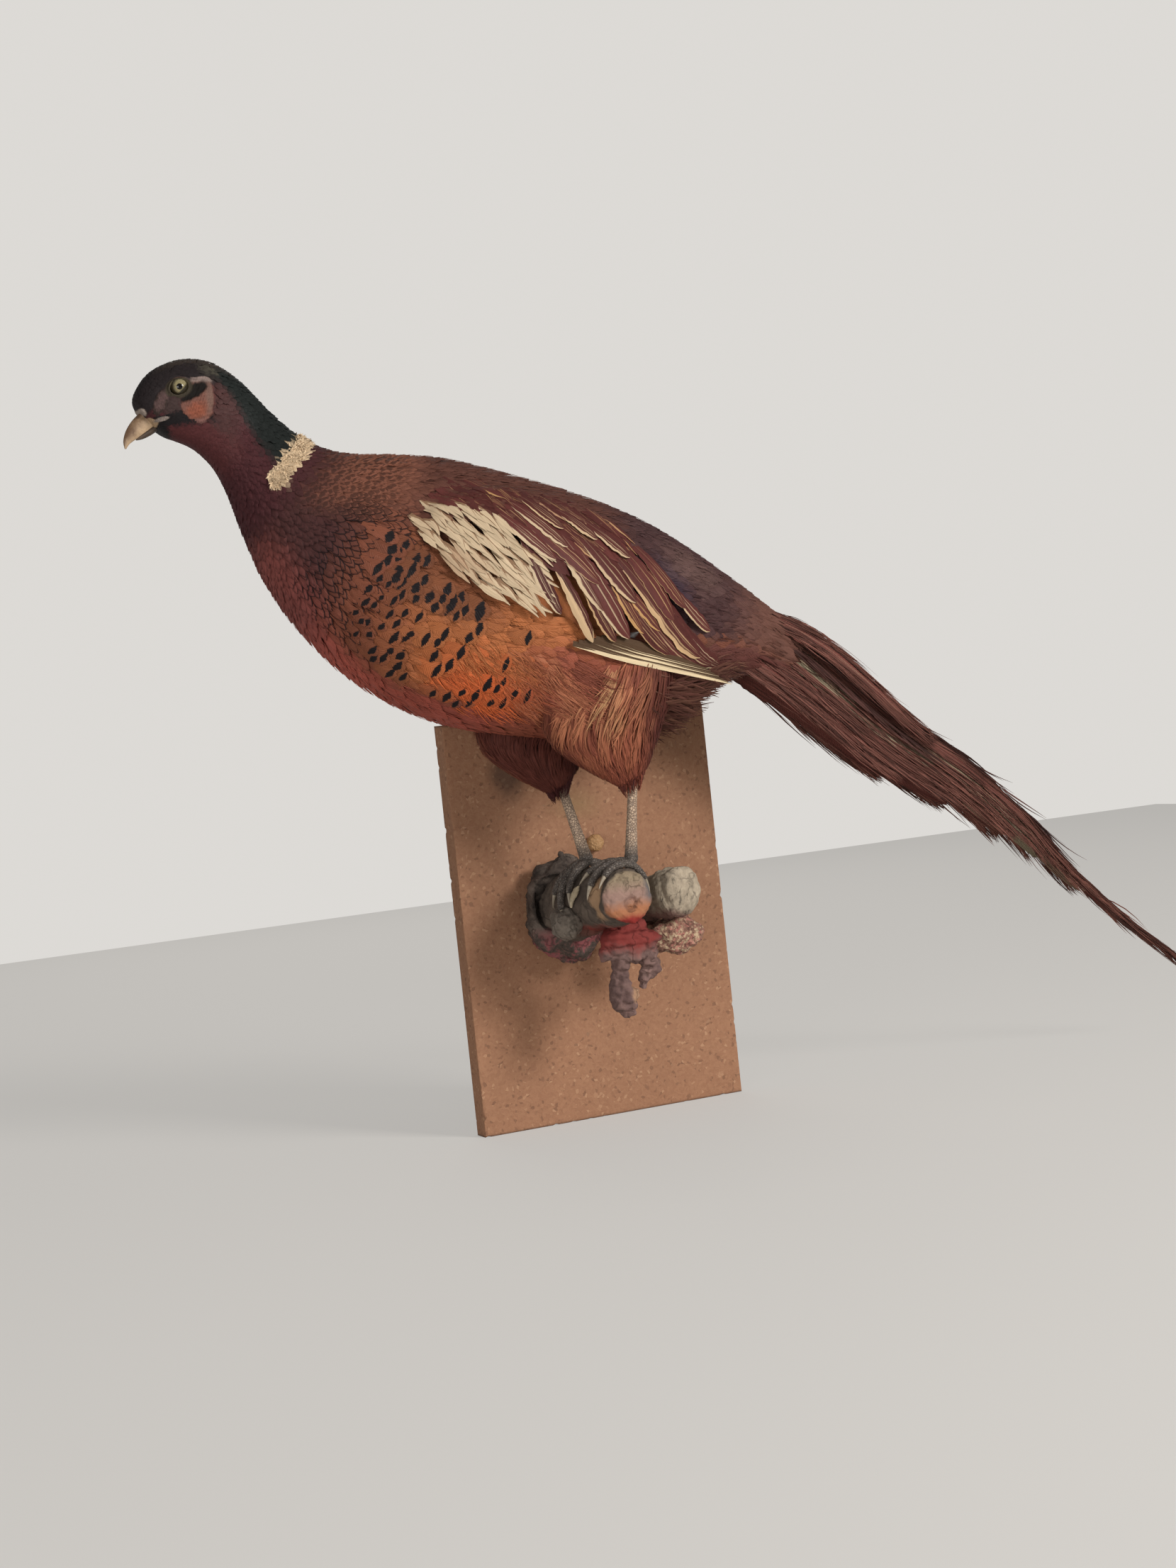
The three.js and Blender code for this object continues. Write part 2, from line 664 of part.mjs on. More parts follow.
for (const [sideName, side] of SIDES) {
  const leg = LEGS[sideName];
  const grownWing = wingSolid(side, GAP);
  const primaries = cutBy(primariesSolid(side), grownBody, grownWing);
  addNode(`eye_${sideName}`, eyeSolid(side), FINISH.eye);
  addNode(`wing_${sideName}`, wingSolid(side), FINISH.wing);
  addNode(`primaries_${sideName}`, primaries, FINISH.primary);
  const thigh = thighSolid(side, leg.hip);
  addNode(`thigh_${sideName}`, cutBy(thigh, grownBody, grownWing, primariesSolid(side, GAP),
    tarsusSolid(leg, GAP)), FINISH.thigh);
  addNode(`tarsus_${sideName}`, cutBy(tarsusSolid(leg), footSolid(leg, GAP)), FINISH.leg);
  addNode(`foot_${sideName}`, footSolid(leg), FINISH.leg);
  for (const toe of TOES) {
    addNode(`claw_${sideName}_${toe[0]}`, cutBy(clawSolid(leg, toe), footSolid(leg, GAP)),
      FINISH.claw);
  }
  TAIL.forEach((_, pair) => addNode(`tail_feather_${sideName}_${pair + 1}`,
    cutBy(tailFeatherSolid(side, pair), grownBody), FINISH.tail));
}

const grownLimb = limbSolid(GAP);
addNode('perch_limb', limbSolid(), FINISH.perch);
addNode('perch_burl', cutBy(burlSolid(), grownLimb, stubSolid(GAP), knobSolid(GAP)), FINISH.perch);
addNode('perch_stub', cutBy(stubSolid(), grownLimb), FINISH.perch);
addNode('perch_knob', cutBy(knobSolid(), grownLimb, stubSolid(GAP)), FINISH.drip);
addNode('perch_drip', cutBy(dripSolid(), grownLimb, knobSolid(GAP), stubSolid(GAP)), FINISH.drip);
addNode('filler_bead', lumpSolid(FILLER.middle, FILLER.radii, 0.05, 8, 4), FINISH.bill);

export default model;
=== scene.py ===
import math

import bpy
import numpy as np
from mathutils import Matrix, Vector


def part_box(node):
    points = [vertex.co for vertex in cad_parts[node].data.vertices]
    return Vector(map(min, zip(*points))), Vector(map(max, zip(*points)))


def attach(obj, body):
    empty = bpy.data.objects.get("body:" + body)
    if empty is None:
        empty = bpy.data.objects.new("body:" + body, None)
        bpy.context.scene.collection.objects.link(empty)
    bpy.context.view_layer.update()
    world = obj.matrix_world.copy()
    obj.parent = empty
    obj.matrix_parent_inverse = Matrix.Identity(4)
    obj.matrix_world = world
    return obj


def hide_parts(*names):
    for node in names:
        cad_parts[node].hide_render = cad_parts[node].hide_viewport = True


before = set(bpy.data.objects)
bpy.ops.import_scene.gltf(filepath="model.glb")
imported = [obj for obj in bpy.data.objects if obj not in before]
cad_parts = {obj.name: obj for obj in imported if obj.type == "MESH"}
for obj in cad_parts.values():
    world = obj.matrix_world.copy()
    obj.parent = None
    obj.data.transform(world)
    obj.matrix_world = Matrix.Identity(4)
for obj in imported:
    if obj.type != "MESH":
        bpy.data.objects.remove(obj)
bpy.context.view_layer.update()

# A taxidermy cock pheasant on its perch and wall plaque. Shapes are worked out in
# millimetres in the part's own frame and put into meshes in metres. The bird faces
# -X; angles round the body run from the back line, positive over the left flank.
MM = 0.001
TURN = 2 * math.pi
BODY_LENGTH, RIDGE_LENGTH = 400, 470   # about, in mm
chance = np.random.default_rng(41)
uniform, normal = chance.uniform, chance.normal


# ---- dimensions

board_low, board_high = (np.array(corner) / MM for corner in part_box("board"))
BOARD_WIDTH = board_high[0] - board_low[0]
BOARD_HEIGHT = board_high[2] - board_low[2]
BOARD_THICKNESS = board_high[1] - board_low[1]
MIDPLANE = -110.0                  # y of the bird's plane of symmetry
LEFT, RIGHT = 1, -1
SIDES = (("left", LEFT), ("right", RIGHT))

# Back line x and z, belly line x and z, half width, height share of the widest point.
BODY = [
    (-309, 350, -306, 346, 2, 0.5), (-314, 357, -301, 341, 8, 0.48),
    (-312, 366, -296, 337, 13, 0.47), (-301, 378, -289, 334, 16, 0.47),
    (-282, 384.5, -281, 330, 17.5, 0.5), (-263, 382, -275, 325, 18, 0.5),
    (-246, 370, -269, 318, 18.5, 0.5), (-233, 355, -264, 309, 20, 0.5),
    (-219, 340, -259, 295, 24, 0.5), (-203, 328, -253, 274, 31, 0.49),
    (-181, 321, -243, 246, 40, 0.47), (-150, 318.5, -222, 210, 50, 0.46),
    (-116, 314, -186, 172, 57, 0.46), (-78, 303, -137, 144, 61, 0.47),
    (-33, 288, -84, 131, 59, 0.47), (12, 269, -32, 124, 51, 0.46),
    (50, 246, 14, 130, 40, 0.44), (82, 222, 52, 146, 30, 0.42),
    (110, 200, 80, 153, 22, 0.4), (130, 181, 104, 147, 15, 0.4),
    (139, 165, 126, 148, 7, 0.45), (138, 157, 134, 153, 2, 0.5),
]
# Share of the body's length, upper and lower edge in degrees, thickness.
WING = [
    (0.452, 68, 75, 1.6), (0.475, 56, 79, 3.4), (0.505, 46, 86, 4.6), (0.55, 36, 96, 5.2),
    (0.6, 33, 103, 5.2), (0.655, 39, 106, 4.8), (0.705, 54, 108, 4.0), (0.752, 74, 110, 3.0),
    (0.795, 96, 112, 1.6),
]
WING_LIFT = 1.3
PRIMARIES = {"root": (-66, 61.5, 192), "tip": (58, 37, 153), "width": 17}
BILL_UPPER = [
    (-299, 352.6, 11, 8), (-304.6, 349.2, 12.2, 8.8), (-311.2, 344.9, 11.4, 7.6),
    (-316.8, 340.2, 8.4, 5.4), (-320.4, 335.6, 4.6, 3), (-321.8, 331.4, 1, 1),
]
BILL_LOWER = [
    (-294, 347.6, 4, 7.6), (-300, 344.4, 4.6, 7.2), (-306, 340.8, 4.4, 5.6),
    (-311, 338.2, 3.2, 3.6), (-314.5, 336.6, 1, 1.4),
]
EYE = {"x": -288.0, "z": 365.5, "radius": 5.4, "out": 14.2}
# Height, front and rear edge, half width, distance of the middle from the midplane.
THIGH = [
    (188, -66, 20, 14, 34), (168, -76, 22, 22, 33), (148, -80, 18, 24, 30),
    (127, -72, 9, 21, 27), (110, -50, 3, 15, 23), (99, -31, -1, 9.5, 20), (93, -20, -5, 3, 19),
]
THIGH_TILT = 5
LEGS = {
    "left": {"side": LEFT, "hip": 0, "hock": (-12, -130, 112), "ankle": (-20, -127, 43.5)},
    "right": {"side": RIGHT, "hip": -36, "hock": (-52, -89, 110), "ankle": (-35, -88, 44.5)},
}
TARSUS_RADIUS = (4.3, 3.7, 3.6, 4.0, 4.8)
ANKLE_RADIUS = 5
# Direction over the limb, spread along it, reach in degrees, radius.
TOES = {
    "inner": (1, -13, 68, 3.2), "middle": (1, -1, 92, 3.5),
    "outer": (1, 10, 70, 3.2), "hind": (-1, 1, 36, 2.9),
}
TOE_CLEARANCE = 0.6
CLAW_LENGTH, CLAW_HOOK = 9, 1.6
RIDGE = [
    (96, 209), (145, 174.5), (204.5, 121.5), (260.5, 78.5), (304, 37), (337.5, -4),
    (379, -45), (434.5, -90.5),
]
ROOF_SLOPE, ROOF_BEND, ROOF_LAYER = math.radians(50), 110, 1.5
PAST_RIDGE = 500                   # mm a share, straight on past the ridge's end
# Share of the ridge's length, place down the slope at root and tip, half width, bow.
TAIL = [
    (0.37, 11.5, 8, 11, 7), (1.0, 13.5, 4, 7.8, 0), (0.76, 19, 10.5, 11, 0),
    (0.66, 27, 17, 12, 0), (0.58, 35, 25, 12.5, 0), (0.46, 43, 36, 12.5, 0),
    (0.34, 49, 45, 11.5, 0),
]
# Distance from the wall, middle x and z, half width, half height.
LIMB = [
    (-16.4, -29, 7, 24, 27), (-32, -30, 8.5, 23, 26), (-52, -31, 11, 21.8, 25),
    (-72, -32, 14, 21, 23.5), (-92, -32.5, 16.6, 20.3, 21.8), (-112, -32, 18.6, 19.4, 20.2),
    (-130, -31, 19, 18.6, 18.8), (-138, -31, 19, 17.8, 17.8), (-141.5, -31, 19, 13.5, 13.5),
    (-142.6, -31, 19, 5, 5),
]

# ---- shape functions


def stack(*values):
    """Numbers or arrays side by side, as one array of points or rows."""
    return np.stack(np.broadcast_arrays(*values), -1)


def split(points):
    """The columns of an array of points or rows, one by one."""
    return np.moveaxis(points, -1, 0)


def rings(shares, around, start=0.0):
    """A grid of shares along a tube and of angles round it, short of the closing angle."""
    turn = np.linspace(start, start + TURN, around, endpoint=False)
    return np.meshgrid(shares, turn, indexing="ij")


def ball(high, around, hole=0.02):
    """Rings of a unit ball, its pole at +Z, with their angles from the pole and round it."""
    p, a = rings(np.linspace(hole, math.pi - hole, high), around)
    return stack(np.sin(p) * np.cos(a), np.sin(p) * np.sin(a), np.cos(p)), p, a


class Table:
    """A smooth reading of a table of rows at a share from 0 to 1 of its length: between
    two rows a cubic whose slopes follow their neighbours. Rows are spaced by the square
    root of the distance between their places, which are their first columns or given."""

    def __init__(self, rows, first=1, places=None):
        self.rows = np.array(rows, float)
        places = self.rows[:, :first] if places is None else places
        gaps = np.linalg.norm(np.diff(places, axis=0), axis=1)
        self.knots = np.concatenate([[0], np.cumsum(np.sqrt(gaps))])
        count = len(self.rows)
        before = np.maximum(np.arange(count) - 1, 0)
        after = np.minimum(np.arange(count) + 1, count - 1)
        spans = (self.knots[after] - self.knots[before])[:, None]
        self.slopes = (self.rows[after] - self.rows[before]) / spans

    def __call__(self, share):
        t = np.clip(share, 0, 1) * self.knots[-1]
        i = np.clip(np.searchsorted(self.knots, t, side="right") - 1, 0, len(self.knots) - 2)
        span = (self.knots[i + 1] - self.knots[i])[..., None]
        u = (t - self.knots[i])[..., None] / span
        from_a = 2 * u**3 - 3 * u**2 + 1
        return (from_a * self.rows[i] + (u**3 - 2 * u**2 + u) * span * self.slopes[i]
                + (1 - from_a) * self.rows[i + 1] + (u**3 - u**2) * span * self.slopes[i + 1])


def ease(value, low, high):
    """0 below low, 1 above high, with the cubic 3t^2 - 2t^3 between; works downwards too."""
    t = np.clip((value - low) / (high - low), 0, 1)
    return t * t * (3 - 2 * t)


def waves(points, length, seed, octaves=3):
    """Smooth noise of about -1 to 1 at points in mm: sines in random directions, whose
    length halves and whose height falls by 0.55 at each octave."""
    make = np.random.default_rng(seed)
    total = np.zeros(points.shape[:-1])
    for octave in range(octaves):
        for _ in range(4):
            way = make.normal(size=3)
            way *= TURN * 2**octave / (length * np.linalg.norm(way))
            total += 0.55**octave * np.sin(points @ way + make.uniform(0, TURN)) / 2.6
    return total


body_rows = Table(BODY, places=[((r[0] + r[2]) / 2, (r[1] + r[3]) / 2) for r in BODY])


def body(share, angle, grow=0.0):
    """Point of the body at its feather tips. Each section runs from the back line to the
    belly line, half an ellipse above its widest point and half below. grow moves it out
    along both axes, and in by at most 70% of its size."""
    row = split(body_rows(share))
    back, belly = row[0:2], row[2:4]
    middle = belly + (back - belly) * row[5]
    upward = np.cos(angle) > 0
    end = np.where(upward, back, belly)
    reach = np.hypot(*(end - middle))
    wide = np.maximum(row[4] + grow, 0.3 * row[4])
    step = np.abs(np.cos(angle)) * np.maximum(reach + grow, 0.3 * reach) / reach
    x, z = middle + (end - middle) * step
    return stack(x, MIDPLANE - wide * np.sin(angle), z)


wing_table = Table(WING, places=[(r[0] * BODY_LENGTH,) for r in WING])(np.linspace(0, 1, 200))


def wing_edges(share):
    """The folded wing's upper and lower edge in degrees, and its thickness in mm."""
    return [np.interp(share, wing_table[:, 0], wing_table[:, k]) for k in (1, 2, 3)]


def wing_height(share, angle):
    """How far the folded wing stands out: its lift and thickness, crowned across, and
    falling to nothing within 6 degrees of its edges."""
    degrees = np.degrees(np.abs(angle))
    upper, lower, thick = wing_edges(share)
    across = (degrees - upper) / np.maximum(lower - upper, 1)
    crown = WING_LIFT + thick * (0.45 + 0.55 * np.sin(math.pi * np.clip(across, 0, 1)))
    inside = ease(degrees, upper - 6, upper + 2) * ease(degrees, lower + 6, lower - 1)
    return crown * inside * ease(share, 0.44, 0.47) * ease(share, 0.83, 0.79)


def winged_body(share, angle, grow=0.0):
    """The body with its folded wings on it."""
    return body(share, angle, grow + wing_height(share, angle))


def hip_lean(leg, drop):
    """How far back a leg stands from its thigh's table, at a share of the way down it."""
    return leg["hip"] * (0.35 + 0.65 * drop)


def thigh(leg):
    """The surface of one thigh: share of its height down from the hip, angle round it from
    the rear over the outer side, and how far outside it."""
    rows = Table(THIGH, 3)
    top, bottom = THIGH[0][0], THIGH[-1][0]

    def surface(share, angle, grow=0.0):
        z, front, rear, half, out = split(rows(share))
        drop = (top - z) / (top - bottom)
        middle = (front + rear) / 2 + hip_lean(leg, drop)
        long = np.maximum((rear - front) / 2 + grow, 0.2 * (rear - front))
        wide = np.maximum(half + grow, 0.3 * half)
        return stack(middle + long * np.cos(angle),
                     MIDPLANE - leg["side"] * (out + wide * np.sin(angle)),
                     z + THIGH_TILT * np.cos(angle))
    return surface


ridge_rows = Table(RIDGE, 2)


def tail_roof(side):
    """The roof that one side's tail feathers form: share of the ridge's length, mm down
    the slope, which steepens along an arc, and height above it."""
    def surface(share, slope, grow=0.0):
        x, z = split(ridge_rows(share))
        front = split(ridge_rows(np.clip(share, 0, 1) - 0.01))
        rear = split(ridge_rows(np.clip(share, 0, 1) + 0.01))
        dx, dz = (rear - front) / np.hypot(*(rear - front))
        angle = ROOF_SLOPE + slope / ROOF_BEND
        out = ROOF_BEND * (np.sin(angle) - math.sin(ROOF_SLOPE)) + grow * np.sin(angle)
        drop = ROOF_BEND * (math.cos(ROOF_SLOPE) - np.cos(angle)) - grow * np.cos(angle)
        over = np.maximum(np.asarray(share) - 1, 0) * PAST_RIDGE
        return stack(x + dx * over + dz * drop, MIDPLANE - side * out,
                     z + dz * over - dx * drop)
    return surface


limb_rows = Table(LIMB)
limb_shares = np.linspace(0, 1, 400)
limb_reach = limb_rows(limb_shares)[:, 0]


def limb_share(y):
    """How far along its table the limb is at a distance from the wall."""
    return np.interp(-np.asarray(y, float), -limb_reach, limb_shares)


def limb(share, angle, grow=0.0):
    """Point of the perch limb; the angle runs from the top towards the bird's head, and
    three low knots swell its underside."""
    y, x, z, half, high = split(limb_rows(share))
    knots = 1 + 0.035 * np.sin(3 * angle + y / 9) * np.sin(angle / 2) ** 2
    return stack(x - (half * knots + grow) * np.sin(angle), y,
                 z + (high * knots + grow) * np.cos(angle))


def unit(vectors):
    """Vectors brought to length 1."""
    return vectors / np.maximum(np.linalg.norm(vectors, axis=-1, keepdims=True), 1e-9)


def tangents(surface, first, second, step=1e-3):
    """Derivatives of a surface along its two parameters, by central differences."""
    return ((surface(first + step, second) - surface(first - step, second)) / (2 * step),
            (surface(first, second + step) - surface(first, second - step)) / (2 * step))


def in_parameters(along, around, vector):
    """The step in a surface's parameters that moves a point by a tangent vector: the least
    squares answer, from the surface's metric."""
    aa, ab, bb = (along * along).sum(-1), (along * around).sum(-1), (around * around).sum(-1)
    va, vb = (vector * along).sum(-1), (vector * around).sum(-1)
    det = np.maximum(aa * bb - ab * ab, 1e-9)
    return stack((bb * va - ab * vb) / det, (aa * vb - ab * va) / det)


def ahead(surface, roots, heading, length):
    """Where lines of a length in mm from roots on a surface end, in its parameters;
    heading turns them from the first parameter towards the second."""
    along, around = tangents(surface, *roots.T)
    first = unit(along)
    second = unit(around - (around * first).sum(-1, keepdims=True) * first)
    way = first * np.cos(heading)[:, None] + second * np.sin(heading)[:, None]
    return roots + in_parameters(along, around, way * length[:, None])


# ---- meshes


def grid_faces(rows, columns, wrap=False):
    """Quads of a grid of points, row by row; wrap joins the last column to the first."""
    i, j = np.meshgrid(np.arange(rows - 1), np.arange(columns if wrap else columns - 1),
                       indexing="ij")
    k = (j + 1) % columns
    return stack(i * columns + j, (i + 1) * columns + j, (i + 1) * columns + k,
                 i * columns + k).reshape(-1, 4)


def tube(grid):
    """Points and faces of a closed tube: rings of points, each end drawn in to its middle,
    turned so that its volume is positive."""
    rows, columns = grid.shape[:2]
    faces = grid_faces(rows, columns, wrap=True)
    points = grid.reshape(-1, 3)
    ends = np.stack([grid[0].mean(0), grid[-1].mean(0)])
    j = np.arange(columns)
    k = (j + 1) % columns
    last = (rows - 1) * columns
    fans = np.concatenate([
        stack(np.full(columns, len(points)), j, k),
        stack(np.full(columns, len(points) + 1), last + k, last + j)])
    points = np.concatenate([points, ends])
    a, b, c, d = (points[faces[:, n]] for n in range(4))
    volume = (a * np.cross(b, c)).sum() + (a * np.cross(c, d)).sum()
    if volume < 0:
        faces, fans = faces[:, ::-1], fans[:, ::-1]
    return points, faces, fans


def build_mesh(name, points, quads, triangles=None, uv=None, colours=None):
    """A mesh in metres from points in mm. uv and colours give each point's values by the
    name of the map or attribute."""
    mesh = bpy.data.meshes.new(name)
    triangles = np.zeros((0, 3), int) if triangles is None else triangles
    corners = np.concatenate([quads.ravel(), triangles.ravel()]).astype(np.int32)
    sizes = np.concatenate([np.full(len(quads), 4), np.full(len(triangles), 3)])
    starts = (np.cumsum(sizes) - sizes).astype(np.int32)
    mesh.vertices.add(len(points))
    mesh.vertices.foreach_set("co", (points * MM).astype(np.float32).ravel())
    mesh.loops.add(len(corners))
    mesh.loops.foreach_set("vertex_index", corners)
    mesh.polygons.add(len(sizes))
    mesh.polygons.foreach_set("loop_start", starts)
    mesh.update(calc_edges=True)
    mesh.shade_smooth()
    for key, values in (uv or {}).items():
        layer = mesh.uv_layers.new(name=key)
        layer.uv.foreach_set("vector", values[corners].astype(np.float32).ravel())
    for key, values in (colours or {}).items():
        attribute = mesh.attributes.new(key, "FLOAT_COLOR", "POINT")
        rgba = np.concatenate([values, np.ones((len(values), 4 - values.shape[1]))], 1)
        attribute.data.foreach_set("color", rgba.astype(np.float32).ravel())
    return mesh


def add(name, data):
    """A new object in the scene, of a mesh, lamp or camera."""
    obj = bpy.data.objects.new(name, data)
    bpy.context.scene.collection.objects.link(obj)
    return obj


def piece(name, mesh, finish, slot, nodes=(), crease=None):
    """Puts a finished mesh into the scene on the part's one body."""
    if crease:
        mesh.set_sharp_from_angle(angle=math.radians(crease))
    mesh.materials.append(finish)
    obj = add(name, mesh)
    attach(obj, "root")
    if nodes:
        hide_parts(*nodes)
    return obj


def closed(name, grid, finish, slot, crease=None):
    """Rings of points as one closed piece, in place of the node of its name."""
    piece(name, build_mesh(name, *tube(grid)), finish, slot, [name], crease)


# ---- finishes


def maths(operation, turned=False):
    """A method that adds one Math node on a value and what is given with it; turned puts
    the value last."""
    def method(value, *others):
        terms = (*others, value) if turned else (value, *others)
        return value.nodes.node("ShaderNodeMath", {"operation": operation}, dict(enumerate(terms)))
    return method


class Value:
    """A shader socket on which Python's arithmetic adds Math nodes."""

    def __init__(self, nodes, socket):
        self.nodes, self.socket = nodes, socket

    __add__ = __radd__ = maths("ADD")
    __mul__ = __rmul__ = maths("MULTIPLY")
    __sub__, __rsub__ = maths("SUBTRACT"), maths("SUBTRACT", turned=True)
    __truediv__, __pow__, __abs__ = maths("DIVIDE"), maths("POWER"), maths("ABSOLUTE")
    most, sin = maths("MAXIMUM"), maths("SINE")

    def ramp(self, low, high):
        """0 at low and below, 1 at high and above, straight between."""
        return self.nodes.node("ShaderNodeMath", {"operation": "MULTIPLY_ADD", "use_clamp": True},
                               {0: self, 1: 1 / (high - low), 2: -low / (high - low)})


class Nodes:
    """A node tree under construction."""

    def __init__(self, tree):
        self.tree = tree

    def put(self, socket, value):
        """Links a value to a socket, or sets a number or colour on it."""
        if isinstance(value, Value):
            self.tree.links.new(value.socket, socket)
        elif isinstance(value, tuple) and len(value) == 3 and socket.type == "RGBA":
            socket.default_value = (*value, 1)
        else:
            socket.default_value = value

    def node(self, kind, settings=None, inputs=None, output=0):
        """Any node: its settings first, then the values or links of its sockets."""
        made = self.tree.nodes.new(kind)
        for key, value in (settings or {}).items():
            setattr(made, key, value)
        for key, value in (inputs or {}).items():
            self.put(made.inputs[key], value)
        return Value(self, made.outputs[output])

    def ray(self, kind):
        """1 where a ray of a kind is looking, else 0."""
        return self.node("ShaderNodeLightPath", output=f"Is {kind} Ray")

    def show(self, amount, first, second, end):
        """Sends the first shader to the end node where amount is 0, and the second at 1."""
        mixed = self.node("ShaderNodeMixShader", None, {0: amount, 1: first, 2: second})
        self.put(self.tree.nodes[end].inputs["Surface"], mixed)


class Finish(Nodes):
    """A material under construction: fixed values on its shader, and nodes that vary."""

    def __init__(self, name, **fixed):
        self.material = bpy.data.materials.new(name)
        self.material.use_nodes = True
        super().__init__(self.material.node_tree)
        self.shader = self.tree.nodes["Principled BSDF"]
        for key, value in fixed.items():
            self.shader.inputs[key.replace("_", " ")].default_value = value

    def paint(self, socket, value):
        self.put(self.shader.inputs[socket], value)

    def mix(self, first, second, amount):
        """The first colour where amount is 0 and the second where it is 1."""
        return self.node("ShaderNodeMix", {"data_type": "RGBA"}, {0: amount, 6: first, 7: second}, 2)

    def stained(self, base, *stains):
        """A colour with others laid over it in turn, each as (colour, amount)."""
        for colour, amount in stains:
            base = self.mix(base, colour, amount)
        return base

    def tint(self, colour, amount):
        """A colour made lighter or darker by a factor."""
        return self.node("ShaderNodeVectorMath", {"operation": "SCALE"}, {0: colour, 3: amount})

    def place(self):
        return self.node("ShaderNodeTexCoord", output="Object")

    def noise(self, where, scale, detail=3, rough=0.55, output=0):
        return self.node("ShaderNodeTexNoise", None, {
            "Vector": where, "Scale": scale, "Detail": detail, "Roughness": rough}, output)

    def grain(self, x, y, z, detail=3, rough=0.55):
        """Noise at a place given by its coordinates."""
        return self.noise(self.point(x, y, z), 1.0, detail, rough)

    def cells(self, where, scale, output=0, feature="F1"):
        return self.node("ShaderNodeTexVoronoi", {"feature": feature},
                         {"Vector": where, "Scale": scale}, output)

    def bent(self, where, scale, detail, reach):
        """The place moved about by noise, by up to about a reach in metres."""
        return self.node("ShaderNodeVectorMath", {"operation": "MULTIPLY_ADD"}, {
            0: self.noise(where, scale, detail, output=1), 1: (reach, reach, reach), 2: where})

    def point(self, x, y, z=0.0):
        return self.node("ShaderNodeCombineXYZ", None, {0: x, 1: y, 2: z})

    def parts(self, vector):
        made = self.tree.nodes.new("ShaderNodeSeparateXYZ")
        self.put(made.inputs[0], vector)
        return [Value(self, socket) for socket in made.outputs]

    def colour(self, name, output="Color"):
        return self.node("ShaderNodeAttribute", {"attribute_name": name}, output=output)

    def blade(self):
        """What a feather's blade carries: the place across it, how far from the shaft, the
        place along it, its form's three numbers and its own random number."""
        across, along, _ = self.parts(self.node("ShaderNodeUVMap", {"uv_map": "vane"}))
        form = self.parts(self.colour("form"))
        return across, abs(across * 2 - 1), along, *form, self.colour("form", "Alpha")

    def done(self, colour, height, depth_mm, strength=1.0):
        """The material, once its colour and the height and depth of its relief are known."""
        self.paint("Base Color", colour)
        self.paint("Normal", self.node("ShaderNodeBump", None, {
            "Height": height, "Distance": depth_mm * MM, "Strength": strength}))
        return self.material


def feather_finish(name, barbs, gloss, relief=0.25):
    """Plumage: each blade's ground colour, with its mark colour on the tip, shaft and rim
    as much as its form's three numbers say. Barbs run out and forwards from the shaft, and
    darken and lighten the blade in clumps."""
    finish = Finish(name, Roughness=gloss, Specular_IOR_Level=0.1)
    across, side, along, tip, shaft, rim, seed = finish.blade()
    slant = along - side * 0.32
    clump = finish.grain(slant * (barbs * 0.5), across * 1.6, seed * 57)
    fine = (slant * (barbs * TURN) + clump * 5).sin()
    strand = finish.grain(slant * (barbs * 2.6), across * 3, seed * 83, 2)
    lean = (along - 0.76 - (across - 0.5) * 0.04) * 8.4
    spot = 1.1 - abs(lean) ** 1.25 - (side * 0.95) ** 1.4 + (clump - 0.5) * 1.1 + (strand - 0.5) * 1.5
    on_tip = spot.ramp(0.0, 0.25) * tip
    on_shaft = (1 - side * 5.5 + (clump - 0.5)).ramp(0, 0.6) * along.ramp(0.3, 0.6) * shaft
    bow = (side ** 2 + (along.most(0.62) - 0.62) ** 2 * 6.2) ** 0.5
    on_rim = (bow + (clump - 0.5) * 0.25).ramp(0.74, 0.93) * rim
    marked = on_tip.most(on_shaft).most(on_rim)
    shade = 0.5 + clump * 0.45 + strand * 0.5 + fine * 0.05
    colour = finish.mix(finish.tint(finish.colour("ground"), shade), finish.colour("mark"), marked)
    return finish.done(colour, fine * 0.5 + clump + strand * 1.6, relief, 0.6)


def quill_finish(name, barbs, gloss):
    """Wing quills: the ground colour with the mark colour along one edge, as far in as
    form's first number says, a shaft of it as strong as its second, and dark flecks as
    many as its third. The edge broadens towards the tip and closes round it."""
    finish = Finish(name, Roughness=gloss, Specular_IOR_Level=0.1)
    across, side, along, edge, shaft, flecks, seed = finish.blade()
    slant = along - side * 0.06
    clump = finish.grain(slant * (barbs * 0.35), across * 2.2, seed * 57, 4)
    streak = finish.grain(along * 2.2, across * 7, seed * 31)
    fine = (slant * (barbs * TURN) + clump * 6).sin()
    reach = edge * along.ramp(0.0, 0.45) * (0.35 + streak * 1.15 + clump * 0.12)
    end = (along - 1.02 + side * 0.12).ramp(-0.05, -0.01) * edge.ramp(0.55, 0.65)
    on_edge = (reach - across + (clump - 0.5) * 0.02).ramp(0, 0.05).most(end)
    on_shaft = (1 - side * 16).ramp(0, 0.5) * shaft
    drift = across + (streak - 0.5) * 0.12 - seed * 0.22
    line = (1 - abs(drift - 0.27) * 26).most(1 - abs(drift - 0.6) * 30)
    line = line.ramp(0, 0.6) * along.ramp(0.3, 0.55) * along.ramp(0.97, 0.85)
    on_line = line * shaft.ramp(0.1, 0.25) * (0.45 + clump * 0.5)
    dark = (clump + streak - 1.12).ramp(0, 0.12) * flecks
    ground = finish.tint(finish.colour("ground"), 0.3 + streak * 1.0 + clump * 0.45 + fine * 0.03)
    ground = finish.tint(ground, 1 - dark * 0.6)
    pale = finish.tint(finish.colour("mark"), 0.62 + streak * 0.7)
    colour = finish.mix(ground, pale, on_edge.most(on_shaft).most(on_line))
    return finish.done(colour, fine * 0.1 + clump + on_shaft * 3, 0.25, 0.5)


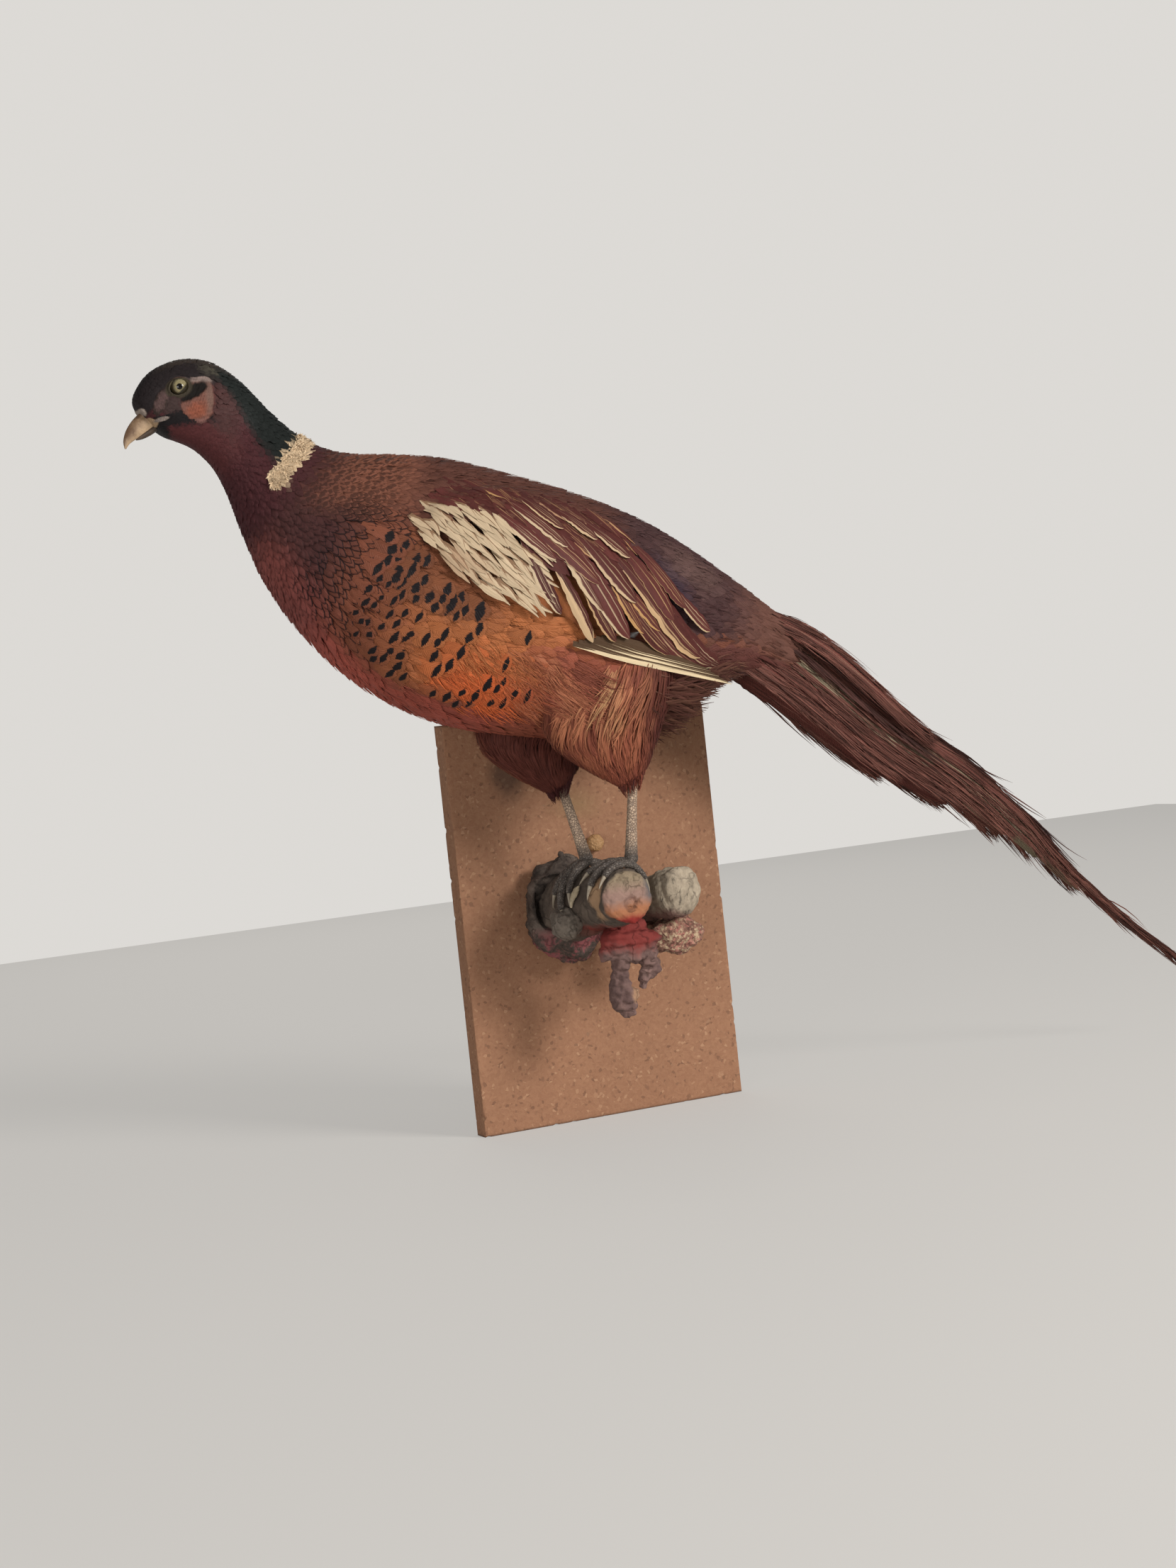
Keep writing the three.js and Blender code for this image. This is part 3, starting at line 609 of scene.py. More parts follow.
def tail_finish(name, gloss):
    """Tail feathers: long streaks of the ground and mark colours, dark gaps between the
    barbs, and a shaft. form's first number is the mark colour's share, its second the
    shaft's strength and its third the gaps'."""
    finish = Finish(name, Roughness=gloss, Specular_IOR_Level=0.16)
    across, side, along, share, shaft, dark, seed = finish.blade()
    bent = across + finish.grain(along * 6, seed * 13, 0.0, 2) * 0.25
    broad = finish.grain(along * 3.2, bent * 4.5, seed * 29)
    streak = finish.grain(along * 7, bent * 26, seed * 31, 4, 0.6)
    barb = ((along + side * -0.05) * 420 + streak * 7).sin()
    marked = (broad * 0.7 + streak * 0.5 - 0.95 + share).ramp(0.0, 0.28)
    colour = finish.mix(finish.colour("ground"), finish.colour("mark"), marked)
    lines = finish.grain(along * 1.6, bent * 9, seed * 41, 2)
    colour = finish.mix(colour, TAIL_LINE, (lines - 0.58).ramp(0, 0.08) * 0.55)
    shade = 0.05 + streak * 1.3 + broad * 0.5 + barb * 0.04 - (0.46 - lines).ramp(0, 0.08) * 0.45 * dark
    on_shaft = (1 - side * 15).ramp(0, 0.5) * shaft
    colour = finish.mix(finish.tint(colour, shade), (0.24, 0.13, 0.09), on_shaft)
    return finish.done(colour, streak * 2.5 + barb * 0.3 + on_shaft * 2, 0.4, 0.8)


# ---- colours

# The crown's brown and olive are partly its own colour and partly painted sheen on the top of the head.
CROWN, CROWN_BROWN_SHEEN, CROWN_OLIVE_SHEEN = (0.022, 0.017, 0.018), (0.046, 0.034, 0.028), (0.085, 0.076, 0.056)
NAPE_GREEN, NAPE_LINE = (0.015, 0.018, 0.017), (0.03, 0.028, 0.027)
CHEEK, THROAT, CHIN = (0.066, 0.029, 0.028), (0.078, 0.023, 0.024), (0.012, 0.01, 0.011)
LORE_SHADE = (0.05, 0.031, 0.029)
NECK, COLLAR = (0.066, 0.021, 0.024), (0.66, 0.5, 0.33)
# The lower breast's two reds on the next line and the belly's red below are their own red, brightened and
# reddened by painted bounce light from below.
BREAST, BREAST_FRONT_WITH_BOUNCE_LIGHT, BREAST_LOW_WITH_BOUNCE_LIGHT = (0.064, 0.025, 0.024), (0.22, 0.064, 0.055), (0.38, 0.09, 0.065)
COPPER, FLANK, FLANK_BRIGHT = (0.2, 0.066, 0.038), (0.38, 0.13, 0.048), (0.58, 0.125, 0.04)
# Next line, first colour: painted shade, the darker band under the folded wing's lower edge.
FLANK_PAINTED_SHADE, BELLY_WITH_BOUNCE_LIGHT, INK = (0.155, 0.055, 0.028), (0.3, 0.072, 0.05), (0.01, 0.008, 0.009)
MANTLE, MANTLE_INK, BACK = (0.215, 0.084, 0.054), (0.018, 0.01, 0.009), (0.105, 0.042, 0.031)
# The rump's violet on the next line is a painted sheen.
RUMP, RUMP_VIOLET_SHEEN, TAIL_ROOT = (0.062, 0.03, 0.03), (0.048, 0.03, 0.044), (0.125, 0.056, 0.042)
# The thigh's gold at the end of the next line is a painted highlight.
RUMP_SHEEN, VENT, THIGH_PAINTED_HIGHLIGHT = (0.12, 0.068, 0.06), (0.16, 0.075, 0.05), (0.42, 0.25, 0.12)
# The thigh's dark maroon is partly its own colour and partly painted shade.
# The thigh's tan is its own colour and partly painted light, laid on its outer and upper side.
THIGH_RED, THIGH_TAN_AND_LIGHT, THIGH_DARK_AND_SHADE = (0.25, 0.072, 0.043), (0.4, 0.155, 0.08), (0.06, 0.018, 0.017)
CREAM, CREAM_SHADE, COVERT_STREAK = (0.52, 0.4, 0.265), (0.38, 0.22, 0.13), (0.22, 0.13, 0.075)
TERTIAL, PRIMARY, OLIVE = (0.082, 0.023, 0.02), (0.66, 0.53, 0.34), (0.27, 0.225, 0.15)
TAIL_LINE, UNDER_TAIL, PRIMARY_BROWN = (0.26, 0.13, 0.1), (0.1, 0.034, 0.028), (0.07, 0.04, 0.022)


def layered(base, *layers):
    """Colours laid over a base, first to last, each as (colour, cover from 0 to 1)."""
    total = np.broadcast_to(np.array(base, float), (*np.shape(layers[0][1]), 3))
    for colour, cover in layers:
        total = total + (np.array(colour, float) - total) * np.asarray(cover)[..., None]
    return total


def within(value, low, high, soft):
    """1 between low and high, fading out over twice soft round each."""
    return ease(value, low - soft, low + soft) * ease(value, high + soft, high - soft)


def collar_lean(degrees):
    """How much further forwards the white collar lies on the sides than on the nape."""
    return 0.006 * (degrees / 100) ** 2


def markings(share, angle, ragged=0.0):
    """Ground colour, mark colour and form of the plumage at a place on the body, for skin
    and coat. Zones follow the share of the length and the angle from the back."""
    s = np.asarray(share) + 0.006 * ragged
    a = np.degrees(np.abs(angle)) + 3 * ragged
    nape_edge = np.interp(s, [0.13, 0.17, 0.2, 0.24, 0.27], [52, 64, 79, 87, 87])
    mantle_edge = np.interp(s, [0.33, 0.37, 0.42, 0.46], [96, 78, 70, 60])
    copper_from = np.interp(a, [60, 90, 120, 153, 170], [0.425, 0.415, 0.417, 0.437, 0.47])
    low_red = np.interp(s, [0.33, 0.4, 0.49, 0.55, 0.62], [150, 148, 152, 146, 142])
    collar = within(s + collar_lean(a), 0.282, 0.307, 0.003) * ease(a, 107, 102)
    chin_low = np.interp(s, [0.05, 0.1, 0.15], [134, 130, 114])
    ground = layered(
        BREAST,
        # The lower breast and the belly: their own red with painted bounce light from below.
        (BREAST_FRONT_WITH_BOUNCE_LIGHT, ease(a, low_red - 30, low_red + 6) * ease(s, 0.3, 0.36)),
        (BREAST_LOW_WITH_BOUNCE_LIGHT, ease(a, 125, 160) * ease(s, 0.4, 0.47)),
        (COPPER, ease(s, copper_from - 0.035, copper_from + 0.02) * ease(a, 168, 150)),
        (FLANK, ease(s, copper_from + 0.02, copper_from + 0.11) * ease(a, low_red + 4, low_red - 6)),
        # Painted shade: a darker band under the folded wing's lower edge.
        (FLANK_PAINTED_SHADE, 0.8 * ease(s, 0.44, 0.47) * ease(s, 0.585, 0.53) * ease(a, 112, 100)),
        (FLANK_BRIGHT, ease(s, 0.5, 0.56) * ease(a, 108, 130) * ease(a, low_red + 3, low_red - 4)),
        (BELLY_WITH_BOUNCE_LIGHT, ease(s, 0.44, 0.52) * ease(a, low_red - 1, low_red + 9)),
        (THIGH_RED, ease(s, 0.57, 0.63) * ease(a, 100, 112)),
        (UNDER_TAIL, ease(s, 0.66, 0.73) * ease(a, 82, 98)),
        (MANTLE, ease(s, 0.315, 0.38) * ease(a, mantle_edge + 18, mantle_edge - 14)),
        (BACK, ease(s, 0.42, 0.47) * ease(a, 76, 66)),
        (RUMP, ease(s, 0.64, 0.7) * ease(a, 96, 84)),
        # Painted sheen: a violet patch on the rump.
        (RUMP_VIOLET_SHEEN, within(s, 0.7, 0.755, 0.02) * within(a, 50, 76, 8)),
        (RUMP_SHEEN, 0.8 * within(s, 0.73, 0.8, 0.02) * within(a, 30, 56, 8)),
        (TAIL_ROOT, ease(s, 0.8, 0.88) * ease(a, 110, 80)),
        (NECK, ease(s, 0.335, 0.3)),
        (THROAT, ease(s, 0.24, 0.2) * ease(a, 96, 110)),
        (CHEEK, ease(s, 0.22, 0.17) * ease(a, 122, 108) * ease(s, 0.09, 0.12)),
        (NAPE_GREEN, ease(s, 0.289, 0.283) * ease(a, nape_edge + 9, nape_edge - 9)),
        (LORE_SHADE, within(s, 0.045, 0.088, 0.012) * within(a, 78, 104, 6)),
        (CHIN, ease(s, 0.168, 0.138) * ease(a, 100, 104) * ease(a, chin_low, chin_low - 11)),
        (CHIN, ease(s, 0.05, 0.035) * ease(a, 96, 100)),
        (CROWN, ease(s, 0.16, 0.13) * ease(a, 66, 60)),
        (CROWN, ease(s, 0.075, 0.06) * ease(a, 84, 76)),
        # Partly painted sheen: brown and olive on the top of the crown.
        (CROWN_BROWN_SHEEN, within(s, 0.075, 0.16, 0.02) * ease(a, 36, 24)),
        (CROWN_OLIVE_SHEEN, within(s, 0.126, 0.144, 0.012) * within(a, 34, 48, 9)),
        (COLLAR, collar))
    mark = layered(
        INK,
        (MANTLE_INK, ease(s, 0.3, 0.33) * ease(s, 0.43, 0.41) * ease(a, mantle_edge + 8, mantle_edge)),
        (CREAM_SHADE, collar),
        (NAPE_LINE, ease(s, 0.27, 0.25)))
    tip = 0.62 * within(s, 0.33, 0.43, 0.015) * ease(a, mantle_edge + 14, mantle_edge + 2)
    rim = 0.9 * within(s, 0.37, 0.465, 0.02) * ease(a, 50, 76) * ease(a, 165, 148)
    rim = np.maximum(rim, 0.35 * within(s, 0.33, 0.42, 0.02) * ease(a, mantle_edge - 5, mantle_edge + 5))
    form = stack(tip, 0 * rim, rim)
    return ground, mark, form * (1 - collar[..., None])


# ---- feathers


def blade_faces(rows, columns):
    """Quads of one closed blade: the top grid comes first, and the under one shares its rim."""
    under = np.arange(rows * columns).reshape(rows, columns)
    under[1:-1, 1:-1] = rows * columns + np.arange((rows - 2) * (columns - 2)).reshape(rows - 2, -1)
    quads = grid_faces(rows, columns)
    return np.concatenate([quads, under.ravel()[quads][:, ::-1]])


def round_tip(along, slim=0.3):
    """Share of the full width: slim at the root, full at two thirds, a round tip."""
    root = slim + (1 - slim) * np.sin(np.minimum(along / 0.62, 1) * math.pi / 2)
    tip = np.sqrt(np.clip(1 - (np.maximum(along - 0.62, 0) / 0.385) ** 2, 0, 1))
    return root * tip


def leaf_tip(along, slim=0.35):
    """Share of the full width: widest at half length, narrowing to a blunt point."""
    return np.clip(slim + (1 - slim) * np.sin(np.minimum(along / 0.5, 1) * math.pi / 2)
                   - 0.86 * np.maximum(along - 0.5, 0) ** 1.6 / 0.5 ** 1.6, 0.06, 1)


def sharp_tip(along, slim=0.5):
    """Share of the full width: slim at the root, full at a third, tapering to a point."""
    root = slim + (1 - slim) * np.sin(np.minimum(along / 0.35, 1) * math.pi / 2)
    return root * np.clip(1 - np.maximum(along - 0.35, 0) / 0.66, 0.04, 1) ** 0.8


def blades(surface, roots, tips, half, low, high, *, grid=(7, 5), outline=round_tip, bend=0.0,
           camber=0.5, rise=0.7, fray=0.0, curl=0.0, thickness=0.25, twist=0.0):
    """Closed feather blades over a surface, each a grid of points along and across. Each
    centre line runs straight through the surface's parameters from its root to its tip,
    bowed aside by bend mm at the middle, and climbs from low to high mm as share**rise,
    plus curl mm at the very tip. Points stand across it by half the width times the
    outline, drooping by camber at the rims; twist lifts one rim, and fray pulls random
    places of both in. Returns points (feathers, points, 3), the vane map and the quads."""
    count = len(roots)
    half, low, high, bend, twist = (
        np.broadcast_to(np.asarray(x, float), (count,))[:, None] for x in (half, low, high, bend, twist))
    u, v = np.linspace(0, 1, grid[0]), np.linspace(-1, 1, grid[1])
    centre = roots[:, None] + (tips - roots)[:, None] * u[None, :, None]
    along, around = tangents(surface, *split(centre))
    run = (tips - roots)[:, None]
    way = unit(along * run[..., :1] + around * run[..., 1:])
    away = np.cross(along, around)
    outward = surface(*split(centre), 1.0) - surface(*split(centre), 0.0)
    away = unit(away * np.sign((away * outward).sum(-1, keepdims=True)))
    side = in_parameters(along, around, np.cross(away, way))
    width = half * outline(u)[None]
    pull = 1 - fray * chance.random((count, len(u), 2)) ** 2
    rim = np.where(v[None, None] < 0, pull[..., :1], pull[..., 1:])
    offset = width[..., None] * v * rim + (bend * np.sin(u * math.pi))[..., None]
    place = centre[:, :, None] + side[:, :, None] * offset[..., None]
    height = low + (high - low) * u[None] ** rise + curl * u[None] ** 4
    lift = height[..., None] - camber * v**2 * (0.4 + u[:, None]) + twist[..., None] * v * u[:, None]
    thick = thickness * (1 - v**2) * (1 - 0.8 * u[:, None])
    top = surface(*split(place), lift + thick)
    under = surface(*split(place[:, 1:-1, 1:-1]), (lift - 0.4 * thick)[:, 1:-1, 1:-1])
    points = np.concatenate([top.reshape(count, -1, 3), under.reshape(count, -1, 3)], 1)
    vane = np.stack(np.broadcast_arrays(v[None, :] * 0.5 + 0.5, u[:, None]), -1)
    vane = np.concatenate([vane.reshape(-1, 2), vane[1:-1, 1:-1].reshape(-1, 2)])
    return points, vane, blade_faces(*grid)


TUFT_PATCH = 0.003


def unwrap(share, angle):
    """The skin's own unwrap: angle across and share of the length up."""
    return stack(0.5 + 0.48 * np.asarray(angle) / math.pi, 0.01 + 0.98 * np.asarray(share))


def plume(name, made, at, ground, finish, slot, mark=INK, form=(0, 0, 0), nodes=(), crease=55):
    """Joins blades into one piece, each with its patch on the skin's unwrap, two colours
    and form. at is each root's (share, angle) on the body, or one for all."""
    points, vane, quads = made
    count, each = points.shape[:2]
    faces = (quads[None] + np.arange(count)[:, None, None] * each).reshape(-1, 4)
    at = np.broadcast_to(np.asarray(at, float), (count, 2))
    bake = unwrap(*at.T)[:, None] + (vane[None] - 0.5) * TUFT_PATCH
    form = np.column_stack([np.broadcast_to(form, (count, 3)), chance.random(count)])

    def spread(values):
        values = np.broadcast_to(values, (count, np.shape(values)[-1]))
        return np.repeat(values, each, axis=0)
    mesh = build_mesh(
        name, points.reshape(-1, 3), faces,
        uv={"vane": np.tile(vane, (count, 1)), "OFBake": bake.reshape(-1, 2)},
        colours={"ground": spread(ground), "mark": spread(mark), "form": spread(form)})
    return piece(name, mesh, finish, slot, nodes, crease)


def scatter(surface, first, last, spacing, stagger=0.35):
    """Roots in rows round a surface: spacing(share) mm from row to row and between
    neighbours, each moved at random by a share of the spacing."""
    rows = []
    share = first
    while share < last:
        gap = float(spacing(share))
        angle = np.linspace(-math.pi, math.pi, 121)
        ring = surface(np.full(121, share), angle)
        arc = np.concatenate([[0], np.cumsum(np.linalg.norm(np.diff(ring, axis=0), axis=1))])
        count = max(int(arc[-1] / gap), 4)
        where = (np.arange(count) + 0.5 * (len(rows) % 2) + stagger * uniform(-1, 1, count))
        angles = np.interp(where / count * arc[-1] % arc[-1], arc, angle)
        flank = surface(np.array([share, share + 0.002]), np.array([1.6, 1.6]))
        step = 0.86 * gap * 0.002 / np.linalg.norm(flank[1] - flank[0])
        shares = share + stagger * step * uniform(-1, 1, count)
        rows.append(stack(np.clip(shares, 0.002, 0.995), angles))
        share += step
    return np.concatenate(rows)


# ---- head, skin

# The face in side view. Ovals are middle x and z, half sizes, and tilt in degrees; the
# wattle is its middle and its reach in mm every 30 degrees from straight back, upwards.
WATTLE_MIDDLE = (-278, 355)
WATTLE_REACH = (10.4, 12.5, 18.6, 16, 15.5, 9.5, 10.8, 11.8, 11.2, 12.6, 11.9, 9.9)
WATTLE_CORE = (-279.2, 350.6, 7.5, 5.0, 20)
LORES = (-300.4, 357.0, 8.8, 3.6, 66)
EAR_PATCH = (-280.7, 362.0, 11.4, 4.3, 27)
EYE_OPENING = (-288.5, 365.2, 5.6, 4.2, 22)
GAPE = (-300.3, 346.6, 4.6, 1.4, 8)
NOSTRIL = (-310.6, 352.2, 3.2, 1.8, -58)
BILL_ROOT = (-308.2, 345.4, 6.4, 3.3, -20)


def oval(points, x, z, long, high, tilt):
    """Distance from an oval's middle in side view, where 1 is its outline."""
    c, s = math.cos(math.radians(tilt)), math.sin(math.radians(tilt))
    dx, dz = points[..., 0] - x, points[..., 2] - z
    return np.hypot((dx * c + dz * s) / long, (dz * c - dx * s) / high)


def wattle(points):
    """Distance from the wattle's middle in side view, where 1 is its outline."""
    dx, dz = points[..., 0] - WATTLE_MIDDLE[0], points[..., 2] - WATTLE_MIDDLE[1]
    reach = np.interp(np.degrees(np.arctan2(dz, dx)) % 360, np.arange(13) * 30,
                      (*WATTLE_REACH, WATTLE_REACH[0]))
    return np.hypot(dx, dz) / reach


def bareness(points):
    """1 on the bare skin of the face and 0 where feathers grow."""
    spots = (LORES, GAPE, NOSTRIL, BILL_ROOT)
    near = np.min([wattle(points) + 0.02, *(oval(points, *spot) for spot in spots)], axis=0)
    near = near + 0.06 * waves(points, 5, 3)
    lids = ease(oval(points, *EYE_OPENING), 1.7, 1.45)
    return np.maximum(ease(near, 1.12, 0.94), lids)


def along_body(shares, values):
    """A value that runs straight between those given at shares of the body's length."""
    return lambda share: np.interp(share, shares, values)


# How deep the plumage is over the skin, in mm.
coat_depth = along_body([0, 0.1, 0.2, 0.3, 0.4, 0.55, 0.8, 0.92, 1],
                        [0.5, 1.1, 2.2, 4, 7, 8.5, 8, 5, 2])


def skin_grow(share, angle):
    """The skin lies under the feathers and comes up where it is bare: a swollen wattle with
    fine warts and folds round the eye, a thick upper lid and a thin lower one that close
    over the eye's edge, and a flap over the nostril."""
    points = body(share, angle)
    bare = bareness(points)
    patch = ease(oval(points, *EAR_PATCH), 1.15, 0.75)
    swell = ease(wattle(points), 1.08, 0.35) * (1 - 0.8 * patch)
    warts = waves(points, 1.7, 11, 2)
    opening = oval(points, *EYE_OPENING)
    folds = np.sin(opening * 8 + 1.5 * waves(points, 9, 13, 2)) * ease(opening, 1.5, 2.0)
    relief = swell * (1.1 + 0.3 * warts) + 0.16 * folds + 0.12 * warts - 0.35
    grow = -coat_depth(share) * (1 - bare) + bare * relief
    above = ease(points[..., 2] - EYE_OPENING[1], -2.5, 2.5)
    lid = (0.75 + 0.75 * above) * np.exp(-((opening - 1.14) / 0.13) ** 2)
    crease = -0.35 * np.exp(-((opening - 1.42) / 0.08) ** 2) * bare
    flap = 0.9 * ease(oval(points, *NOSTRIL), 1.1, 0.4)
    return grow + lid + crease + flap - 4.5 * ease(opening, 1.02, 0.9)


def skin_colours(share, angle):
    """The coat's own markings on the skin, with the face's bare colours over them."""
    points = body(share, angle)
    ground, _, _ = markings(share, angle)
    bare = bareness(points)
    around = wattle(points)
    cloudy = 0.5 + 0.5 * waves(points, 4, 8)
    opening = oval(points, *EYE_OPENING)
    x, z = points[..., 0], points[..., 2]
    face = layered(
        (0.17, 0.075, 0.057),
        ((0.235, 0.074, 0.044), ease(oval(points, *WATTLE_CORE) + 0.25 * cloudy, 1.5, 0.5)),
        ((0.165, 0.08, 0.07), ease(z, 346.5, 343.5)),
        ((0.15, 0.09, 0.072), 0.8 * ease(x, -275, -271) * ease(z, 346, 352)),
        ((0.23, 0.17, 0.15), ease(z, 366.5, 369) * ease(x, -286, -282)),
        ((0.1, 0.03, 0.027), 0.85 * within(around, 0.9, 1.2, 0.05) * ease(x, -272, -268) * ease(z, 368, 364)),
        ((0.006, 0.004, 0.003), ease(oval(points, *EAR_PATCH) + 0.12 * cloudy, 1.2, 0.85)),
        ((0.03, 0.019, 0.016), ease(x, -288, -292)),
        ((0.085, 0.05, 0.047), ease(oval(points, *LORES) + 0.5 * cloudy, 1.35, 0.7)),
        ((0.36, 0.25, 0.155), ease(oval(points, *BILL_ROOT) + 0.1 * cloudy, 1.2, 1.0)),
        ((0.2, 0.165, 0.145), ease(oval(points, *GAPE), 1.15, 0.7)),
        ((0.31, 0.255, 0.22), ease(oval(points, *NOSTRIL) + 0.3 * cloudy, 1.3, 0.7)),
        ((0.045, 0.036, 0.024), ease(opening, 1.75, 1.35)),
        ((0.11, 0.088, 0.05), within(opening, 0.95, 1.1, 0.06) * ease(z, 363, 368)))
    face = face * (0.8 + 0.35 * (0.5 + 0.5 * waves(points, 1.3, 12, 2)))[..., None]
    return ground + (face - ground) * bare[..., None]


def united(name, meshes, operations=None):
    """One closed mesh from several, joined or cut in turn by exact solid operations."""
    operations = operations or ["UNION"] * (len(meshes) - 1)
    keep = [add(f"{name}_{i}", mesh) for i, mesh in enumerate(meshes)]
    for other, operation in zip(keep[1:], operations):
        join = keep[0].modifiers.new("join", "BOOLEAN")
        join.operation, join.object, join.solver = operation, other, "MANIFOLD"
    bpy.context.view_layer.update()
    shaped = keep[0].evaluated_get(bpy.context.evaluated_depsgraph_get())
    result = bpy.data.meshes.new_from_object(shaped)
    result.name = name
    for obj in keep:
        bpy.data.objects.remove(obj)
    result.materials.clear()
    return result


def skin_finish():
    """Dry skin: its own colours, a little mottled, with fine pores."""
    finish = Finish("skin", Roughness=0.7, Specular_IOR_Level=0.16)
    where = finish.place()
    mottle = finish.noise(where, 420, 4)
    finish.paint("Roughness", 0.55 + mottle * 0.3)
    return finish.done(finish.tint(finish.colour("ground"), 0.72 + mottle * 0.56),
                       finish.noise(where, 1900, 3) + mottle, 0.25)


# How deep the skin lies in the thighs, and how much of the unwrap 1 mm of it takes.
SKIN_IN_THIGH, THIGH_PATCH = 5.0, 1e-4


def make_skin():
    """The body and both thighs as one skin, fine over the head and coarser behind."""
    shares = np.concatenate([np.linspace(0.0015, 0.2, 190), np.linspace(0.2, 1, 90)[1:]])
    s, a = rings(shares, 240, -math.pi)
    points, quads, fans = tube(body(s, a, skin_grow(s, a)))
    ends = np.array([[0, 0], [1, 0]])
    where = np.concatenate([stack(s, a).reshape(-1, 2), ends])
    parts = [build_mesh("skin", points, quads, fans, uv={"OFBake": unwrap(*where.T)},
                        colours={"ground": skin_colours(*where.T)})]
    for leg in LEGS.values():
        s, a = rings(np.linspace(0.0, 0.97, 22), 32)
        points, quads, fans = tube(thigh(leg)(s, a, -SKIN_IN_THIGH))
        # The far thigh's skin takes the dark maroon and the near one the red: painted shade on the far side.
        colour = np.array(THIGH_RED if leg["side"] == LEFT else THIGH_DARK_AND_SHADE)
        home = unwrap(np.full(len(points), 0.66), np.full(len(points), 2.2 * leg["side"]))
        parts.append(build_mesh(
            "thigh", points, quads, fans, uv={"OFBake": home + points[:, [1, 2]] * THIGH_PATCH},
            colours={"ground": np.broadcast_to(colour, points.shape)}))
    thighs = ["thigh_left", "thigh_right"]
    piece("skin", united("skin", parts), skin_finish(), "body_plumage",
          ["head", "neck", "trunk", "tail_base", *thighs])


PUPIL_FORWARD, PUPIL_LOW, PUPIL_RADIUS, IRIS_RADIUS = 1.1, 0.4, 2.0, 4.9


def make_eye(name, side):
    """A ball with its pole at the pupil. Iris and pupil are rings round that pole."""
    x, z, y = split(ball(40, 48)[0] * EYE["radius"])
    grid = stack(EYE["x"] + x, MIDPLANE - side * (EYE["out"] + y), EYE["z"] + z)
    finish = Finish(f"eye_glass_{name}", Roughness=0.12, Coat_Weight=0.15, Coat_Roughness=0.03,
                    Specular_IOR_Level=0.25)
    x, _, z = finish.parts(finish.place())
    dx, dz = (x - EYE["x"] * MM) / MM, (z - EYE["z"] * MM) / MM
    out = (dx ** 2 + dz ** 2) ** 0.5
    turn = finish.node("ShaderNodeMath", {"operation": "ARCTAN2"}, {0: dz, 1: dx})
    rays = finish.noise(finish.point(turn * 5, out * 0.5), 2.2, 3)
    iris = finish.mix((0.14, 0.115, 0.055), (0.36, 0.31, 0.17), rays.ramp(0.3, 0.7))
    iris = finish.mix((0.04, 0.03, 0.015), iris, (1 - out / IRIS_RADIUS).ramp(0.02, 0.25))
    pupil = PUPIL_RADIUS - ((dx + PUPIL_FORWARD) ** 2 + (dz + PUPIL_LOW) ** 2) ** 0.5
    # Painted shade: the iris darkens towards its lower rear.
    finish.paint("Base Color", finish.stained(
        iris, ((0.022, 0.018, 0.01), ((dx - dz) * 0.5 - 0.7).ramp(0, 0.9)),
        ((0.002, 0.001, 0.001), pupil.ramp(0, 0.3))))
    closed(f"eye_{name}", grid, finish.material, "eye_glass")


def horn_finish(name, pale, dark, root=None):
    """Horn: pale and dark cloudy streaks along it, worn scratches and a satin sheen. root
    is where, in mm down and back, its pale root and cutting edge begin."""
    finish = Finish(name, Roughness=0.42, Specular_IOR_Level=0.45, Coat_Weight=0.15)
    where = finish.place()
    cloud = finish.noise(where, 160, 4)
    scratch = finish.noise(where, 900, 4, 0.7)
    amount = cloud * 1.0 + scratch * 0.4 - 0.2
    if root:
        x, _, z = finish.parts(where)
        amount = amount + ((x - z * 0.8) / MM - root).ramp(-9, 5) * 0.9 - 0.35
    finish.paint("Roughness", 0.34 + scratch * 0.25)
    return finish.done(finish.mix(dark, pale, amount.ramp(0.1, 0.95)), scratch + cloud, 0.2)


def make_bill():
    """Two horn sheaths of oval section, sharpened into a ridge. The upper one hooks over
    the lower and has a slit nostril under a swollen flap near its root."""
    upper_horn = horn_finish("bill_horn", (0.6, 0.43, 0.27), (0.13, 0.07, 0.036), -583)
    # The lower sheath is painted near black: painted shade, where it lies under the upper one.
    shaded_lower_horn = horn_finish("bill_horn_low_painted_shade", (0.1, 0.062, 0.038), (0.022, 0.014, 0.01))
    for name, sections, finish in (("bill_upper", BILL_UPPER, upper_horn),
                                   ("bill_lower", BILL_LOWER, shaded_lower_horn)):
        rows = Table(sections, 2)
        s, a = rings(np.linspace(0, 1, 60), 56, -math.pi)
        x, z, height, width = split(rows(s))
        dx, dz = split(rows(np.minimum(s + 0.02, 1)) - rows(np.maximum(s - 0.02, 0)))[:2]
        up = stack(dz, 0 * dz, -dx) / np.hypot(dx, dz)[..., None]
        lift = height / 2 * np.cos(a)
        wide = width / 2 * np.sin(a) * (1 - 0.22 * ease(np.cos(a), 0.35, 1.0))
        if name == "bill_upper":
            slit = np.exp(-((s - 0.3) / 0.075) ** 2 - ((np.abs(a) - 1.05) / 0.16) ** 2)
            flap = np.exp(-((s - 0.22) / 0.12) ** 2 - ((np.abs(a) - 0.8) / 0.22) ** 2)
            wide = wide * (1 + 0.1 * flap - 0.3 * slit)
            lift = lift * (1 + 0.06 * flap)
        else:
            lift = -lift
        closed(name, stack(x, MIDPLANE - wide, z) + up * lift[..., None], finish, "bill_horn")


# ---- plumage


